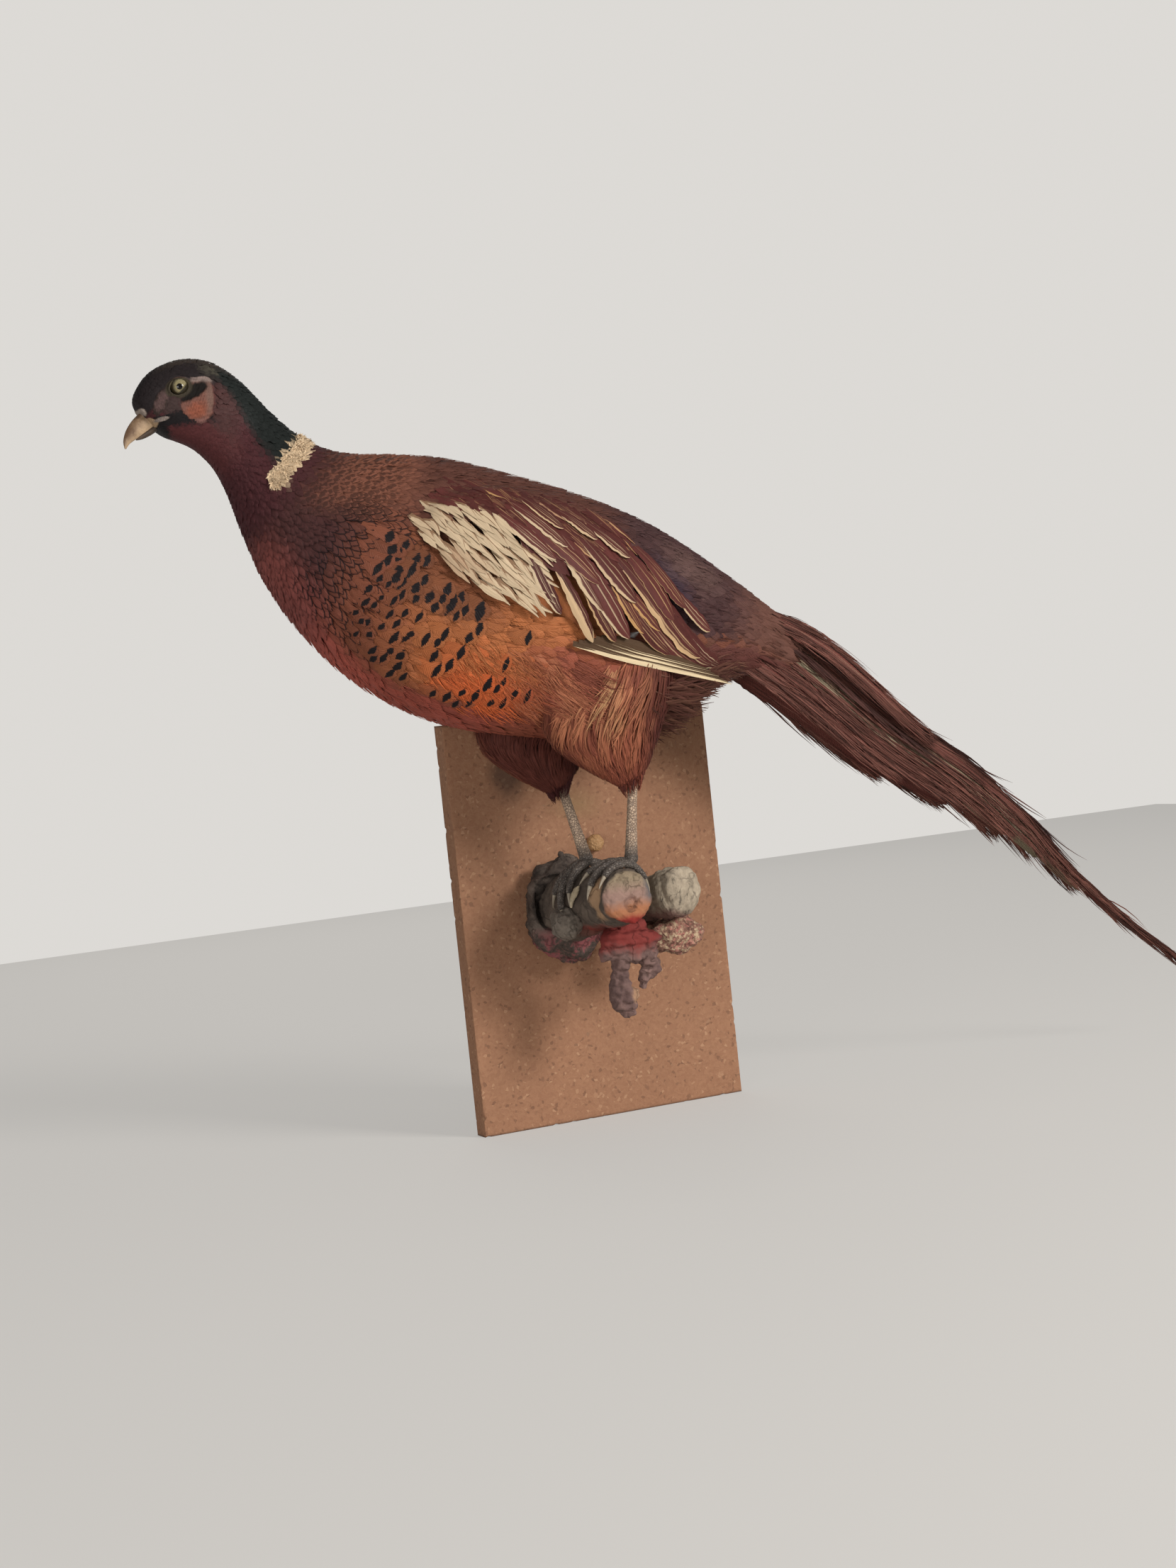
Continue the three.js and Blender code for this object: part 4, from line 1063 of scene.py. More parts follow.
# Length of the coat's feathers, and distance from one to the next, in mm.
feather_length = along_body([0, 0.05, 0.1, 0.16, 0.22, 0.28, 0.34, 0.42, 0.5, 0.7, 0.85, 1],
                            [1.9, 2.6, 3.6, 5.2, 7.5, 10, 13, 17, 28, 36, 40, 30])
feather_gap = along_body([0, 0.05, 0.1, 0.16, 0.22, 0.28, 0.34, 0.42, 0.5, 0.7, 1],
                         [1.05, 1.35, 1.75, 2.3, 2.8, 3.4, 3.8, 4.3, 7.2, 8.2, 8])


def under_wing(place):
    """True where the folded wing hides the plumage."""
    s, a = place[:, 0], np.degrees(np.abs(place[:, 1]))
    upper, lower, _ = wing_edges(s)
    return (a > upper + 9) & (a < lower - 8) & (s > 0.475) & (s < 0.78)


def coat(name, roots, finish, surface=body, slope=0.0, spread=0.1, plump=0.74, **shape):
    """One piece of the coat: blades from roots along the lie of the plumage, turned by
    slope down the flanks, with lengths and gaps that follow the body."""
    count, share = len(roots), roots[:, 0]
    lengths = feather_length(share) * uniform(0.85, 1.12, count)
    heading = slope * np.sign(roots[:, 1]) + normal(0, spread, count)
    tips = ahead(surface, roots, heading, lengths)
    tips[:, 0] = np.minimum(tips[:, 0], 0.999)
    depth = coat_depth(share)
    half = feather_gap(share) * plump * uniform(0.9, 1.15, count)
    seen = roots + 0.86 * (tips - roots)
    ground, mark, form = markings(*seen.T, normal(0, 0.45, count))
    ground = ground * uniform(0.9, 1.1, (count, 1))
    high = -0.02 * depth + uniform(-0.3, 0.3, count) * np.minimum(depth / 4, 1)
    made = blades(surface, roots, tips, half, -0.8 * depth, high,
                  camber=np.minimum(depth / 8, 0.5)[:, None, None], **shape)
    plume(name, made, roots, ground, finish, "body_plumage", mark, form)


def make_head_coat(finish):
    """Tiny feathers on the head, where neither root nor tip comes onto the bare face."""
    roots = scatter(body, 0.012, 0.215, feather_gap)
    points = body(*roots.T)
    tips = points + np.array([2.5, 0, -1.0]) * (0.5 + 8 * roots[:, :1])
    keep = (bareness(points) < 0.35) & (bareness(tips) < 0.75)
    coat("coat_head", roots[keep], finish, spread=0.12, grid=(5, 3), thickness=0.12)


def make_body_coat(finish):
    """The neck's feathers, and four regions behind it, left out under the wings."""
    roots = scatter(body, 0.2, 0.345, feather_gap)
    coat("coat_neck", roots, finish, grid=(6, 5), thickness=0.15)
    roots = scatter(body, 0.335, 0.83, feather_gap)
    seen = ahead(body, roots, np.zeros(len(roots)), 0.8 * feather_length(roots[:, 0]))
    roots = roots[~(under_wing(seen) & under_wing(roots))]
    angle = np.degrees(roots[:, 1])
    regions = {
        "coat_back": (np.abs(angle) <= 64, winged_body, 0.16),
        "coat_left_flank": ((angle > 64) & (angle <= 150), body, 0.05),
        "coat_right_flank": ((angle < -64) & (angle >= -150), body, 0.05),
        "coat_belly": (np.abs(angle) > 150, body, 0.0),
    }
    for name, (chosen, surface, slope) in regions.items():
        coat(name, roots[chosen], finish, surface, slope * (np.abs(angle[chosen]) > 30),
             fray=0.12, spread=0.09)


# Rows of black-tipped feathers down the flank: degrees from the back, and where along
# the body each row starts and ends.
SPOT_ROWS = (
    (82, 0.438, 0.452), (87, 0.44, 0.485), (91, 0.438, 0.51), (95, 0.44, 0.535),
    (99, 0.44, 0.55), (103, 0.575, 0.625), (106, 0.44, 0.55), (113, 0.44, 0.545),
    (120, 0.438, 0.6), (127, 0.44, 0.58), (134, 0.444, 0.61), (141, 0.452, 0.6),
    (147, 0.462, 0.58),
)
SPOT_STEP = 0.0125


def make_spots(name, side, finish):
    """Feathers with a black spot across the tip, in loose rows down the flank, larger and
    closer together where the wing starts."""
    places = []
    for angle, first, last in SPOT_ROWS:
        row = np.arange(first, last, SPOT_STEP)
        row = row + uniform(-0.35, 0.35, len(row)) * SPOT_STEP
        sparse = np.interp(row, [0.45, 0.49, 0.53, 0.62], [0.9, 0.8, 0.6, 0.45])
        row = row[chance.random(len(row)) < sparse]
        places.append(stack(row, angle + normal(0, 1.2, len(row))))
    share, degrees = np.concatenate(places).T
    count = len(share)
    seen = stack(share, side * np.radians(degrees))
    shoulder = ease(degrees, 104, 98) * ease(share, 0.56, 0.54)
    small = ease(share, 0.485, 0.45) * (1 - 0.6 * shoulder)
    length = (19 + 5 * shoulder - 5 * small) * uniform(0.8, 1.15, count)
    roots = ahead(body, seen, np.full(count, math.pi), length * 0.85)
    tips = seen + (seen - roots) * 0.18
    half = (6.6 + 1.2 * shoulder - 2.4 * small) * uniform(0.6, 1.15, count)
    # The spot feathers' ground is a darker copy of the flank's: painted shade against the light they catch
    # standing higher.
    ground = markings(*seen.T)[0] * uniform(0.72, 0.95, (count, 1))
    made = blades(body, roots, tips, half, -1.6, 0.4 + uniform(0, 0.5, count),
                  grid=(10, 7), fray=0.3, camber=0.15, bend=normal(0, 0.9, count),
                  outline=lambda u: round_tip(u) ** 0.6)
    plume(f"coat_spots_{name}", flipped(made, side), roots, ground, finish, "body_plumage",
          form=(1, 0, 0))


def strands(name, surface, roots, length, ground, finish, slot, half=0.6, low=-2.0, high=0.5,
            heading=0.0, spread=0.25, **shape):
    """Single loose barbs: thin pointed blades that stray from the lie of the plumage."""
    count = len(roots)
    way = heading + normal(0, spread, count)
    tips = ahead(surface, roots, way, length * uniform(0.6, 1.3, count))
    made = blades(surface, roots, tips, half * uniform(0.6, 1.4, count), low,
                  high * uniform(0.2, 1.3, count), camber=0.1,
                  bend=normal(0, 0.06, count) * length,
                  **{"grid": (5, 3), "outline": sharp_tip, **shape})
    ground = np.broadcast_to(ground, (count, 3)) * uniform(0.82, 1.2, (count, 1))
    plume(name, made, roots, ground, finish, slot)


def make_loose_barbs(hair):
    """Loose barbs over each flank and the back, which soften the edges of the feathers."""
    roots = scatter(body, 0.36, 0.8, lambda share: 4.4 + 1.6 * share, 1.2)
    roots = roots[~under_wing(roots)]
    angle = np.degrees(roots[:, 1])
    for name, chosen in (("coat_barbs_left", angle > 62), ("coat_barbs_right", angle < -62),
                         ("coat_barbs_back", np.abs(angle) <= 62)):
        place = roots[chosen]
        length = np.interp(place[:, 0], [0.36, 0.5, 0.8], [9, 16, 24])
        ground, _, _ = markings(place[:, 0] + 0.02, place[:, 1])
        strands(name, winged_body if "back" in name else body, place, length, ground, hair,
                "body_plumage", half=0.36, low=-3.0, high=0.15, spread=0.16)


def make_collar(finish):
    """The white half collar: short fluffy tufts that stand out and curl every way."""
    count = 3000
    roots = stack(uniform(0.281, 0.301, count), np.radians(uniform(-106, 106, count)))
    puff = waves(body(*roots.T), 10, 15, 2)
    roots[:, 0] += puff * 0.0022 - collar_lean(np.degrees(roots[:, 1]))
    strands("coat_collar", body, roots, np.full(count, 3.3), COLLAR, finish, "body_plumage",
            half=0.5, low=-2.0, high=1.6 + 0.9 * puff, spread=0.9, outline=leaf_tip,
            curl=uniform(-1.6, 0.3, (count, 1)))


def make_rump(finish):
    """Loose, hair-like feathers over the rump and the root of the tail, and the vent's
    soft wisps, which hang back and down from the belly."""
    roots = scatter(body, 0.64, 0.965, lambda share: 5.4)
    keep = (np.abs(roots[:, 1]) < 1.9) & ~under_wing(roots)
    coat("coat_rump", roots[keep], finish, spread=0.18, plump=0.4, outline=sharp_tip,
         grid=(8, 3), fray=0.5)
    count = 1700
    roots = stack(uniform(0.66, 0.84, count), np.radians(uniform(122, 238, count)))
    out = ease(roots[:, 0], 0.66, 0.72) * ease(roots[:, 0], 0.82, 0.74)
    ground = layered((0.1, 0.038, 0.03), (VENT, chance.random(count) ** 1.5))
    strands("coat_vent", body, roots, 24 + 16 * out, ground, finish, "body_plumage", half=1.5,
            low=-4.0, high=2.0 + 14 * out, spread=0.2, grid=(6, 3), rise=1.2)


# ---- wings

QUILL_GOLD = (0.42, 0.24, 0.1)
HEADING = math.radians(34)         # wing feathers lie this far down from the body's length
COVERT_STEP = 0.0145
# Where the pale lower edge of each long feather starts and ends (share, degrees), the
# feather's half width in mm, how far in the edge reaches, and how golden it is. The
# lowest come first, and each lies over those before it.
QUILLS = [
    (0.7, 72, 0.818, 118, 7.0, 0.17, 0.1), (0.69, 76, 0.8, 112, 7.0, 0.11, 0.3),
    (0.668, 78, 0.775, 108, 7.0, 0.08, 0.5), (0.64, 76, 0.735, 101, 6.5, 0.08, 0.7),
    (0.65, 74, 0.717, 89.5, 5.0, 0.24, 1.0), (0.64, 72, 0.698, 92.5, 5.0, 0.3, 1.0),
    (0.585, 74, 0.646, 102, 5.0, 0.7, 0.4), (0.61, 76, 0.669, 99.5, 5.5, 0.2, 0.7),
    (0.55, 67, 0.607, 93, 5.5, 0.26, 0.0), (0.575, 63, 0.648, 88, 6.5, 0.33, 0.1),
    (0.575, 58, 0.681, 97, 8.0, 0.15, 0.1), (0.522, 59, 0.592, 72.5, 6.0, 0.24, 0.0),
    (0.54, 57, 0.64, 78, 6.5, 0.07, 0.6),
    (0.528, 50, 0.603, 66, 6.0, 0.21, 0.1), (0.605, 59, 0.682, 81, 7.0, 0.2, 0.3),
    (0.545, 45, 0.598, 58, 5.5, 0.18, 0.4), (0.64, 63, 0.775, 102, 8.5, 0.26, 0.6),
    (0.585, 48, 0.635, 58.5, 5.5, 0.2, 0.3), (0.65, 58, 0.73, 84, 7.5, 0.06, 0.8),
    (0.615, 50, 0.672, 62, 5.5, 0.22, 0.2), (0.668, 54, 0.745, 76, 7.5, 0.05, 0.8),
    (0.695, 62, 0.786, 84.5, 6.5, 0.18, 0.3),
]


def patch_edges(share):
    """Upper and lower edge, in degrees, of the cream patch of coverts."""
    return (np.interp(share, [0.455, 0.48, 0.515, 0.56, 0.59, 0.61], [74, 62, 60, 65, 70, 78]),
            np.interp(share, [0.455, 0.475, 0.504, 0.53, 0.58, 0.605, 0.62], [79, 80, 85, 92, 96, 96, 97]))


def laid(places, side):
    """Places given as (share, degrees) on one side, as parameters of the surface."""
    return stack(places[:, 0], side * np.radians(places[:, 1]))


def make_quills(name, side, finish):
    """The long feathers of the folded wing, each laid over those before it."""
    root_s, root_a, tip_s, tip_a, half, reach, gold = np.array(QUILLS).T
    count, order = len(half), np.arange(len(half))
    inward = stack(0.0015 * half, -0.47 * half)
    roots = laid(stack(root_s, root_a) + inward, side)
    tips = laid(stack(tip_s, tip_a) + inward * 0.35, side)
    made = blades(winged_body, roots, tips, half, -1.4, 0.1 + 0.11 * order, grid=(22, 9),
                  bend=normal(0, 0.9, count), fray=0.18, rise=0.5, twist=-side * 0.5)
    ground = TERTIAL * uniform(0.8, 1.2, (count, 1))
    plume(f"quills_{name}", flipped(made, side), roots, ground, finish, "wing_plumage",
          layered(CREAM, (QUILL_GOLD, gold)), stack(0.88 * reach, 0.25, 0.6), [f"wing_{name}"])


def make_wing(name, side, finish):
    """The folded wing: its quills, then over them the cream coverts at the shoulder and the
    brown scapulars above, from one field of roots, parted by where the tips fall, and last
    the closed primaries."""
    make_quills(name, side, finish)
    s, a = np.meshgrid(np.arange(0.442, 0.7, COVERT_STEP), np.arange(32, 98, 2.6), indexing="ij")
    s = s + COVERT_STEP * ((np.arange(s.shape[1]) * 5 % 8) / 8)
    places = stack(s.ravel(), a.ravel()) + normal(0, 1, (s.size, 2)) * (0.002, 0.7)
    roots = laid(places, side)
    heading = side * HEADING + normal(0, 0.1, len(roots))
    length = np.interp(places[:, 0], [0.45, 0.52, 0.6, 0.7], [19, 27, 34, 38])
    tips = ahead(winged_body, roots, heading, length * uniform(0.8, 1.15, len(roots)))
    tip_s, tip_a = tips[:, 0], np.degrees(np.abs(tips[:, 1]))
    high, low = patch_edges(tip_s)
    cream = (tip_a > high) & (tip_a < low) & (tip_s < 0.606)
    cape = (tip_a > 47) & (tip_a <= high) & (tip_s > 0.49) & (tip_s < 0.69)
    streaked = chance.random(len(roots)) < 0.5

    def lay(chosen, half, top):
        count = chosen.sum()
        return blades(winged_body, roots[chosen], tips[chosen], half * uniform(0.75, 1.2, count), -1.6,
                      top + uniform(-0.3, 0.3, count), grid=(10, 7), camber=0.15, fray=0.25, rise=0.6,
                      bend=normal(0, 1.0, count), outline=leaf_tip, twist=-side * 0.25)
    made = lay(cream, 2.7, 0.8)
    share, count = tip_s[cream], cream.sum()
    wash = within(share, 0.495, 0.54, 0.01) * ease(tip_a[cream], 78, 87)
    frayed = ease(share, 0.49, 0.46)
    dull = chance.random(count)
    mark = layered(CREAM, (CREAM_SHADE, 0.9 * wash * dull), (CREAM_SHADE, 0.6 * frayed * dull))
    mark = mark * uniform(0.86, 1.04, (count, 1))
    brown = 0.12 * frayed + 0.2 * wash + 0.14 * ease(share, 0.55, 0.6)
    edge = uniform(0.66, 0.98, count) - brown * chance.random(count)
    plume(f"coverts_{name}", flipped(made, side), roots[cream], COVERT_STREAK, finish,
          "wing_plumage", mark, stack(edge, 0, 0.4))

    made = lay(cape, 4.4, -0.2)
    count = cape.sum()
    ground = TERTIAL * uniform(0.75, 1.25, (count, 1))
    pale = uniform(0.12, 0.36, count) * (chance.random(count) < 0.2)
    mark = layered(CREAM_SHADE, (QUILL_GOLD, chance.random(count)))
    plume(f"scapulars_{name}", flipped(made, side), roots[cape], ground, finish, "wing_plumage",
          mark, stack(pale, 0.75 * streaked[cape], 0.6))
    make_primaries(name, side, finish)


def flipped(made, side):
    """Turns the vane map of the right side over, so that patterns mirror the left's."""
    points, vane, quads = made
    return (points, vane, quads) if side == LEFT else (points, vane * (-1, 1) + (1, 0), quads)


def primary_plate(side):
    """The plane in which the closed primaries lie: share along them, mm up across them,
    and mm out of the plane."""
    root, tip = np.array(PRIMARIES["root"], float), np.array(PRIMARIES["tip"], float)
    along = unit(tip - root)
    wide = unit(np.array([0, 0, 1]) - along * along[2])
    out = np.cross(wide, along)
    out = out * np.sign(out[1])

    def surface(share, across, grow=0.0):
        p = (root + (tip - root) * np.asarray(share)[..., None]
             + wide * np.asarray(across)[..., None] + out * np.asarray(grow)[..., None]
             * np.ones(np.shape(share))[..., None])
        return stack(p[..., 0], MIDPLANE - side * p[..., 1], p[..., 2])
    return surface


def make_primaries(name, side, finish):
    """Seven narrow quills closed like a fan, the lowest outermost and palest, brown with
    cream outer edges."""
    edges = (1.0, 0.3, 0.08, 0.26, 0.07, 0.14, 0.07)
    order = np.arange(len(edges))
    roots = stack(0.02 + 0.03 * order, -5.2 + 1.7 * order)
    tips = stack(1.0 - 0.03 * order, -3.0 + 0.9 * order)
    made = blades(primary_plate(side), roots, tips, 3.4, -0.6 + 0.3 * order, -0.6 + 0.3 * order,
                  grid=(22, 9), camber=0.2, fray=0.06, outline=sharp_tip, twist=-side * 0.15)
    at = stack(0.66 + 0.02 * order, side * 1.85)
    plume(f"primaries_{name}", flipped(made, side), at, PRIMARY_BROWN, finish, "wing_plumage",
          PRIMARY, stack(edges, 0, 0.4), [f"primaries_{name}"])


# ---- tail


# How much olive each pair's feathers show, from the ridge down, and where on the skin's
# unwrap the tail has its patches.
TAIL_OLIVE = (0.3, 0.2, 0.5, 0.6, 0.36, 0.12, 0.06)
TAIL_BROWN, TAIL_PATCH = (0.15, 0.046, 0.036), 0.93


def tail_outline(along):
    """Share of the full width: broad from a short root, slowly narrowing to the tip."""
    return np.minimum(1, 0.45 + 2.2 * along) * np.sqrt(np.clip(1 - along**1.7, 0.003, 1))


def barbs(surface, roots, ends, half, low, high, bend, rows, **shape):
    """Loose barbs from roots to ends: thin pointed blades, bent aside at random."""
    return blades(surface, roots, ends, half, low, high, grid=(rows, 3), outline=sharp_tip,
                  bend=normal(0, bend, len(roots)), **{"camber": 0.0, **shape})


def make_tail(name, side, finish, hair):
    """One side's long feathers, laid like tiles on the tail's roof, and its loose barbs."""
    for pair in range(len(TAIL)):
        make_tail_feather(name, side, pair, finish, hair)
    make_loose_tail(name, side, hair)


def make_tail_feather(name, side, pair, finish, hair):
    """A blade with a raised shaft and split rims, and its fringe of loose barbs. One that
    reaches the tail's tip narrows to half its width; a bowed one arches off the roof."""
    share, root, tip, half, bow = TAIL[pair]
    slim = 0.5 if share == 1 else 0.0
    low = -pair * ROOF_LAYER
    at = (TAIL_PATCH, side * (0.3 + 0.2 * pair))
    roof = tail_roof(side)

    def bowed(first, second, grow=0.0):
        arch = np.sin(math.pi * np.clip(np.asarray(first) / share, 0, 1))
        return roof(first, second, grow + bow * arch)

    def outline(along):
        return tail_outline(along) * (1 - slim * along)
    made = blades(bowed, np.array([[0.0, root]]), np.array([[share, tip]]), half, low - 0.3, low - 0.3,
                  grid=(46, 11), camber=0.15, fray=0.14, thickness=0.45, outline=outline)
    ground = np.array(TAIL_BROWN) * (1.1 - 0.04 * pair)
    plume(f"tail_feather_{name}_{pair + 1}", flipped(made, side), at, ground, finish,
          "tail_plumage", OLIVE, (TAIL_OLIVE[pair], 0.5, 0.8), [f"tail_feather_{name}_{pair + 1}"])

    count = 300
    u = uniform(0.06, 0.97, count)
    clump = np.sin(u * 40 + pair) + np.sin(u * 93 + 2 * pair)
    rim = chance.choice([-1, 1], count)
    roots = stack(u * share, root + (tip - root) * u + outline(u) * half * rim * uniform(0.3, 0.95, count))
    ends = roots + stack(uniform(16, 62, count) / RIDGE_LENGTH,
                         rim * (uniform(-1, 3.0, count) + 0.9 * clump))
    ends[:, 0] = np.minimum(ends[:, 0], share * uniform(0.99, 1.015, count))
    made = barbs(bowed, roots, ends, uniform(0.3, 0.7, count), low - 0.2,
                 low + uniform(-0.6, 1.8, count), 1.0, 5)
    shade = uniform(0.4, 1.3, count) + 0.25 * np.maximum(clump, -1)
    plume(f"tail_fringe_{name}_{pair + 1}", made, at, shade[:, None] * (0.125, 0.05, 0.038), hair,
          "tail_plumage")


def make_loose_tail(name, side, hair):
    """Barbs under the ridge, which close the slit between the tail's two sides, and bent
    ones that stand off the tail: some above its ridge, more below its root."""
    roof, at = tail_roof(side), (TAIL_PATCH, side * 1.5)
    count = 190
    roots = stack(uniform(0, 0.94, count), uniform(2.2, 9, count))
    roots[:, 1] *= 1 - 0.4 * roots[:, 0]
    ends = roots + stack(uniform(30, 85, count) / RIDGE_LENGTH, normal(0, 0.7, count))
    ends[:, 0] = np.minimum(ends[:, 0], uniform(0.96, 1.0, count))
    made = barbs(roof, roots, ends, uniform(0.7, 1.5, count), -3.0,
                 -2.5 + uniform(-0.4, 0.1, count), 0.8, 6)
    plume(f"tail_ridge_{name}", made, at, uniform(0.5, 1.2, (count, 1)) * (0.1, 0.042, 0.033),
          hair, "tail_plumage")

    above, below = 12, 28
    count = above + below
    u = np.concatenate([uniform(0.26, 0.6, above), uniform(0.03, 0.3, below)])
    upper = np.arange(count) < above
    roots = stack(u, np.where(upper, 2.0, 21.5 - 4 * u))
    stray = uniform(0.3, 1, count) ** 1.5
    ends = roots + stack(uniform(40, 75, count) / RIDGE_LENGTH, np.where(upper, 0.5, 9 * stray))
    made = barbs(roof, roots, ends, uniform(0.6, 1.1, count), -0.5,
                 np.where(upper, 11 * stray, 1.5 * stray), 1.2, 8, rise=2.0)
    plume(f"tail_strays_{name}", made, at, uniform(0.3, 1.1, (count, 1)) * (0.085, 0.036, 0.03),
          hair, "tail_plumage")


# ---- legs


def make_thigh_coat(name, side, hair):
    """Long soft feathers over a thigh, lying down and back, then the flank feathers over
    its top and the fringe round the leg below it."""
    leg, count = LEGS[name], 3000
    surface = thigh(leg)
    roots = stack(uniform(0.06, 0.9, count), uniform(0, TURN, count))
    share, angle = roots.T
    length = uniform(22, 42, count) * np.interp(share, [0, 0.6, 0.9], [1, 0.75, 0.4])
    places = surface(share, angle)
    locks = waves(places * (1, 1, 0.35), 11, 6, 3)
    heading = normal(0, 0.05, count) + 0.18 * locks + 0.45 * np.sin(angle - 0.5)
    tips = ahead(surface, roots, heading, length)
    tips[:, 0] = np.minimum(tips[:, 0], 1.0)
    outer = ease(np.sin(angle), -0.2, 0.8)
    local = places[:, 0] - hip_lean(leg, share)
    # Tan streaks kept to the outer side, and further on to the upper part: partly the feathers' colour,
    # partly painted light.
    pale = np.clip(0.45 + 0.45 * locks, 0, 1) * outer
    # Where the painted highlight lies on the thigh's upper front.
    gold = within(local, -50, -24, 7) * within(share, 0.12, 0.4, 0.1)
    ground = layered(
        THIGH_RED,
        (THIGH_TAN_AND_LIGHT, 0.9 * pale * ease(share, 0.8, 0.3)),
        (THIGH_PAINTED_HIGHLIGHT, 0.8 * pale * gold),
        # Painted shade: darker in the gaps between locks, towards the bottom, on the inner side and on the
        # far thigh; also darker towards the rear.
        *((THIGH_DARK_AND_SHADE, cover) for cover in (
            0.3 * ease(locks, 0.0, -0.8), 0.45 * ease(share, 0.62, 1.0), 0.6 * (1 - outer),
            0.8 * ease(local, -22, 12), np.full(count, 0.25 * (side == RIGHT)))))
    sunk = 3.5 * ease(share, 0.25, 0.06)
    made = blades(surface, roots, tips, uniform(0.5, 1.2, count), -4.5 - sunk,
                  -0.5 - 0.5 * sunk + 0.5 * locks + uniform(-0.5, 0.4, count), grid=(7, 3),
                  outline=sharp_tip, camber=0.1, fray=0.2, thickness=0.12,
                  bend=1.6 * locks + normal(0, 0.5, count))
    at = stack(0.6 + 0.1 * share, side * (1.9 + 0.4 * np.cos(angle)))
    plume(f"thigh_coat_{name}", made, at, ground * uniform(0.88, 1.14, (count, 1)), hair,
          "thigh_plumage")
    make_drape(name, leg, hair)
    make_hem(name, side, surface, hair)


def make_hem(name, side, surface, hair):
    """The fringe under a thigh, on its outline sunk straight on and drawn in round the leg."""
    def hem(share, angle, grow=0.0):
        end = np.full(np.shape(share), 0.9)
        rim = surface(end, angle, grow - 1.0)
        middle = (surface(end, 0 * angle) + surface(end, 0 * angle + math.pi)) / 2
        drawn = np.clip(share, -0.4, 1)[..., None]
        return middle + (rim - middle) * (0.9 - 0.5 * drawn) - drawn * (0, 0, 13)
    count = 260
    roots = stack(uniform(-0.4, 0.1, count), uniform(0, TURN, count))
    angle = roots[:, 1]
    tips = stack(uniform(0.1, 1, count) ** 1.6, angle + normal(0, 0.25, count))
    made = barbs(hem, roots, tips, uniform(0.3, 0.8, count), -1.5, uniform(-0.5, 1.0, count),
                 1.2, 6, camber=0.5)
    # Painted shade: the far hem stays dark maroon, only the near one takes red.
    shade = layered(THIGH_DARK_AND_SHADE, (THIGH_RED, chance.random(count) * 0.8 * (side == LEFT)))
    at = stack(0.69, side * (1.9 + 0.4 * np.cos(angle)))
    plume(f"thigh_hem_{name}", made, at, shade, hair, "thigh_plumage")


def make_drape(name, leg, hair):
    """Long flank feathers that fall over the top of the thigh: they lie on the body where
    it stands out further, and on the thigh below that, with an eased step between."""
    heights = np.array([r[0] for r in THIGH], float)
    side, inset = leg["side"], THIGH[0][4]

    def surface(share, angle, grow=0.0):
        points = body(share, angle, grow)
        z = np.clip(points[..., 2], heights[-1], heights[0] + 25)
        front, rear, half, out = (np.interp(-z, -heights, [r[k] for r in THIGH]) for k in (1, 2, 3, 4))
        drop = (heights[0] - z) / (heights[0] - heights[-1])
        middle = (front + rear) / 2 + hip_lean(leg, drop)
        round_off = np.clip(1 - ((points[..., 0] - middle) / ((rear - front) / 2 + 4)) ** 2, 0, 1)
        stand = out + (half + grow) * np.sqrt(round_off) - inset * (1 - ease(round_off, 0, 0.35))
        mine = side * (MIDPLANE - points[..., 1])
        blend = np.sqrt((stand - mine) ** 2 + 30)
        points[..., 1] = MIDPLANE - side * np.maximum((stand + mine + blend) / 2 - 1.5, mine)
        return points
    count = 1500
    roots = stack(uniform(0.51, 0.63, count), side * np.radians(uniform(109, 137, count)))
    share, angle = roots.T
    places = surface(share, angle)
    locks = waves(places * (0.5, 1, 1), 12, 17, 3)
    length = uniform(24, 46, count)
    ground = layered(
        markings(share + 0.03, angle)[0],
        # Tan on the drape's lower part: partly the feathers' colour, partly painted light.
        (THIGH_TAN_AND_LIGHT, 0.7 * np.clip(0.3 + locks, 0, 1) * ease(share, 0.54, 0.6)),
        # Painted highlight on the drape over the thigh.
        (THIGH_PAINTED_HIGHLIGHT, 0.6 * np.clip(0.4 + locks, 0, 1) * within(places[:, 0], -62, -38, 6)),
        # Painted shade in the gaps between locks.
        (THIGH_DARK_AND_SHADE, 0.35 * ease(locks, 0.0, -0.8)))
    strands(f"thigh_drape_{name}", surface, roots, length, ground, hair, "thigh_plumage", half=0.65,
            low=-3.0, high=0.4 + 0.4 * locks, heading=side * (0.5 + 0.12 * locks), spread=0.07,
            grid=(7, 3), thickness=0.12)


def rail(path, radii, around, squash=1.0):
    """Rings round a path, squashed across it. Their sideways axis is the level one across
    the limb, turned square to the path; radii is a number for each ring or each point."""
    along = unit(np.gradient(path, axis=0))
    level = np.array([0.0, -1.0, 0.0])
    across = unit(level - along * (along @ level)[:, None])
    up = np.cross(along, across)
    a = np.linspace(0, TURN, around, endpoint=False)
    r = radii if radii.ndim == 2 else radii[:, None]
    return (path[:, None] + across[:, None] * (squash * r * np.cos(a))[..., None]
            + up[:, None] * (r * np.sin(a))[..., None])


def toe_path(leg, toe, count=26):
    """Centre line of a toe over the limb and its radius, from the ankle to the claw."""
    direction, spread, reach, radius = TOES[toe]
    ankle_x, ankle_y, _ = leg["ankle"]
    row = limb_rows(limb_share(ankle_y))
    start = math.asin((row[1] - ankle_x) / (row[4] + ANKLE_RADIUS))
    s = np.linspace(0, 1, count)
    radii = radius * (1 - 0.35 * s)
    share = limb_share(ankle_y - spread * np.sqrt(s))
    return limb(share, start + direction * math.radians(reach) * s, radii + TOE_CLEARANCE), radii


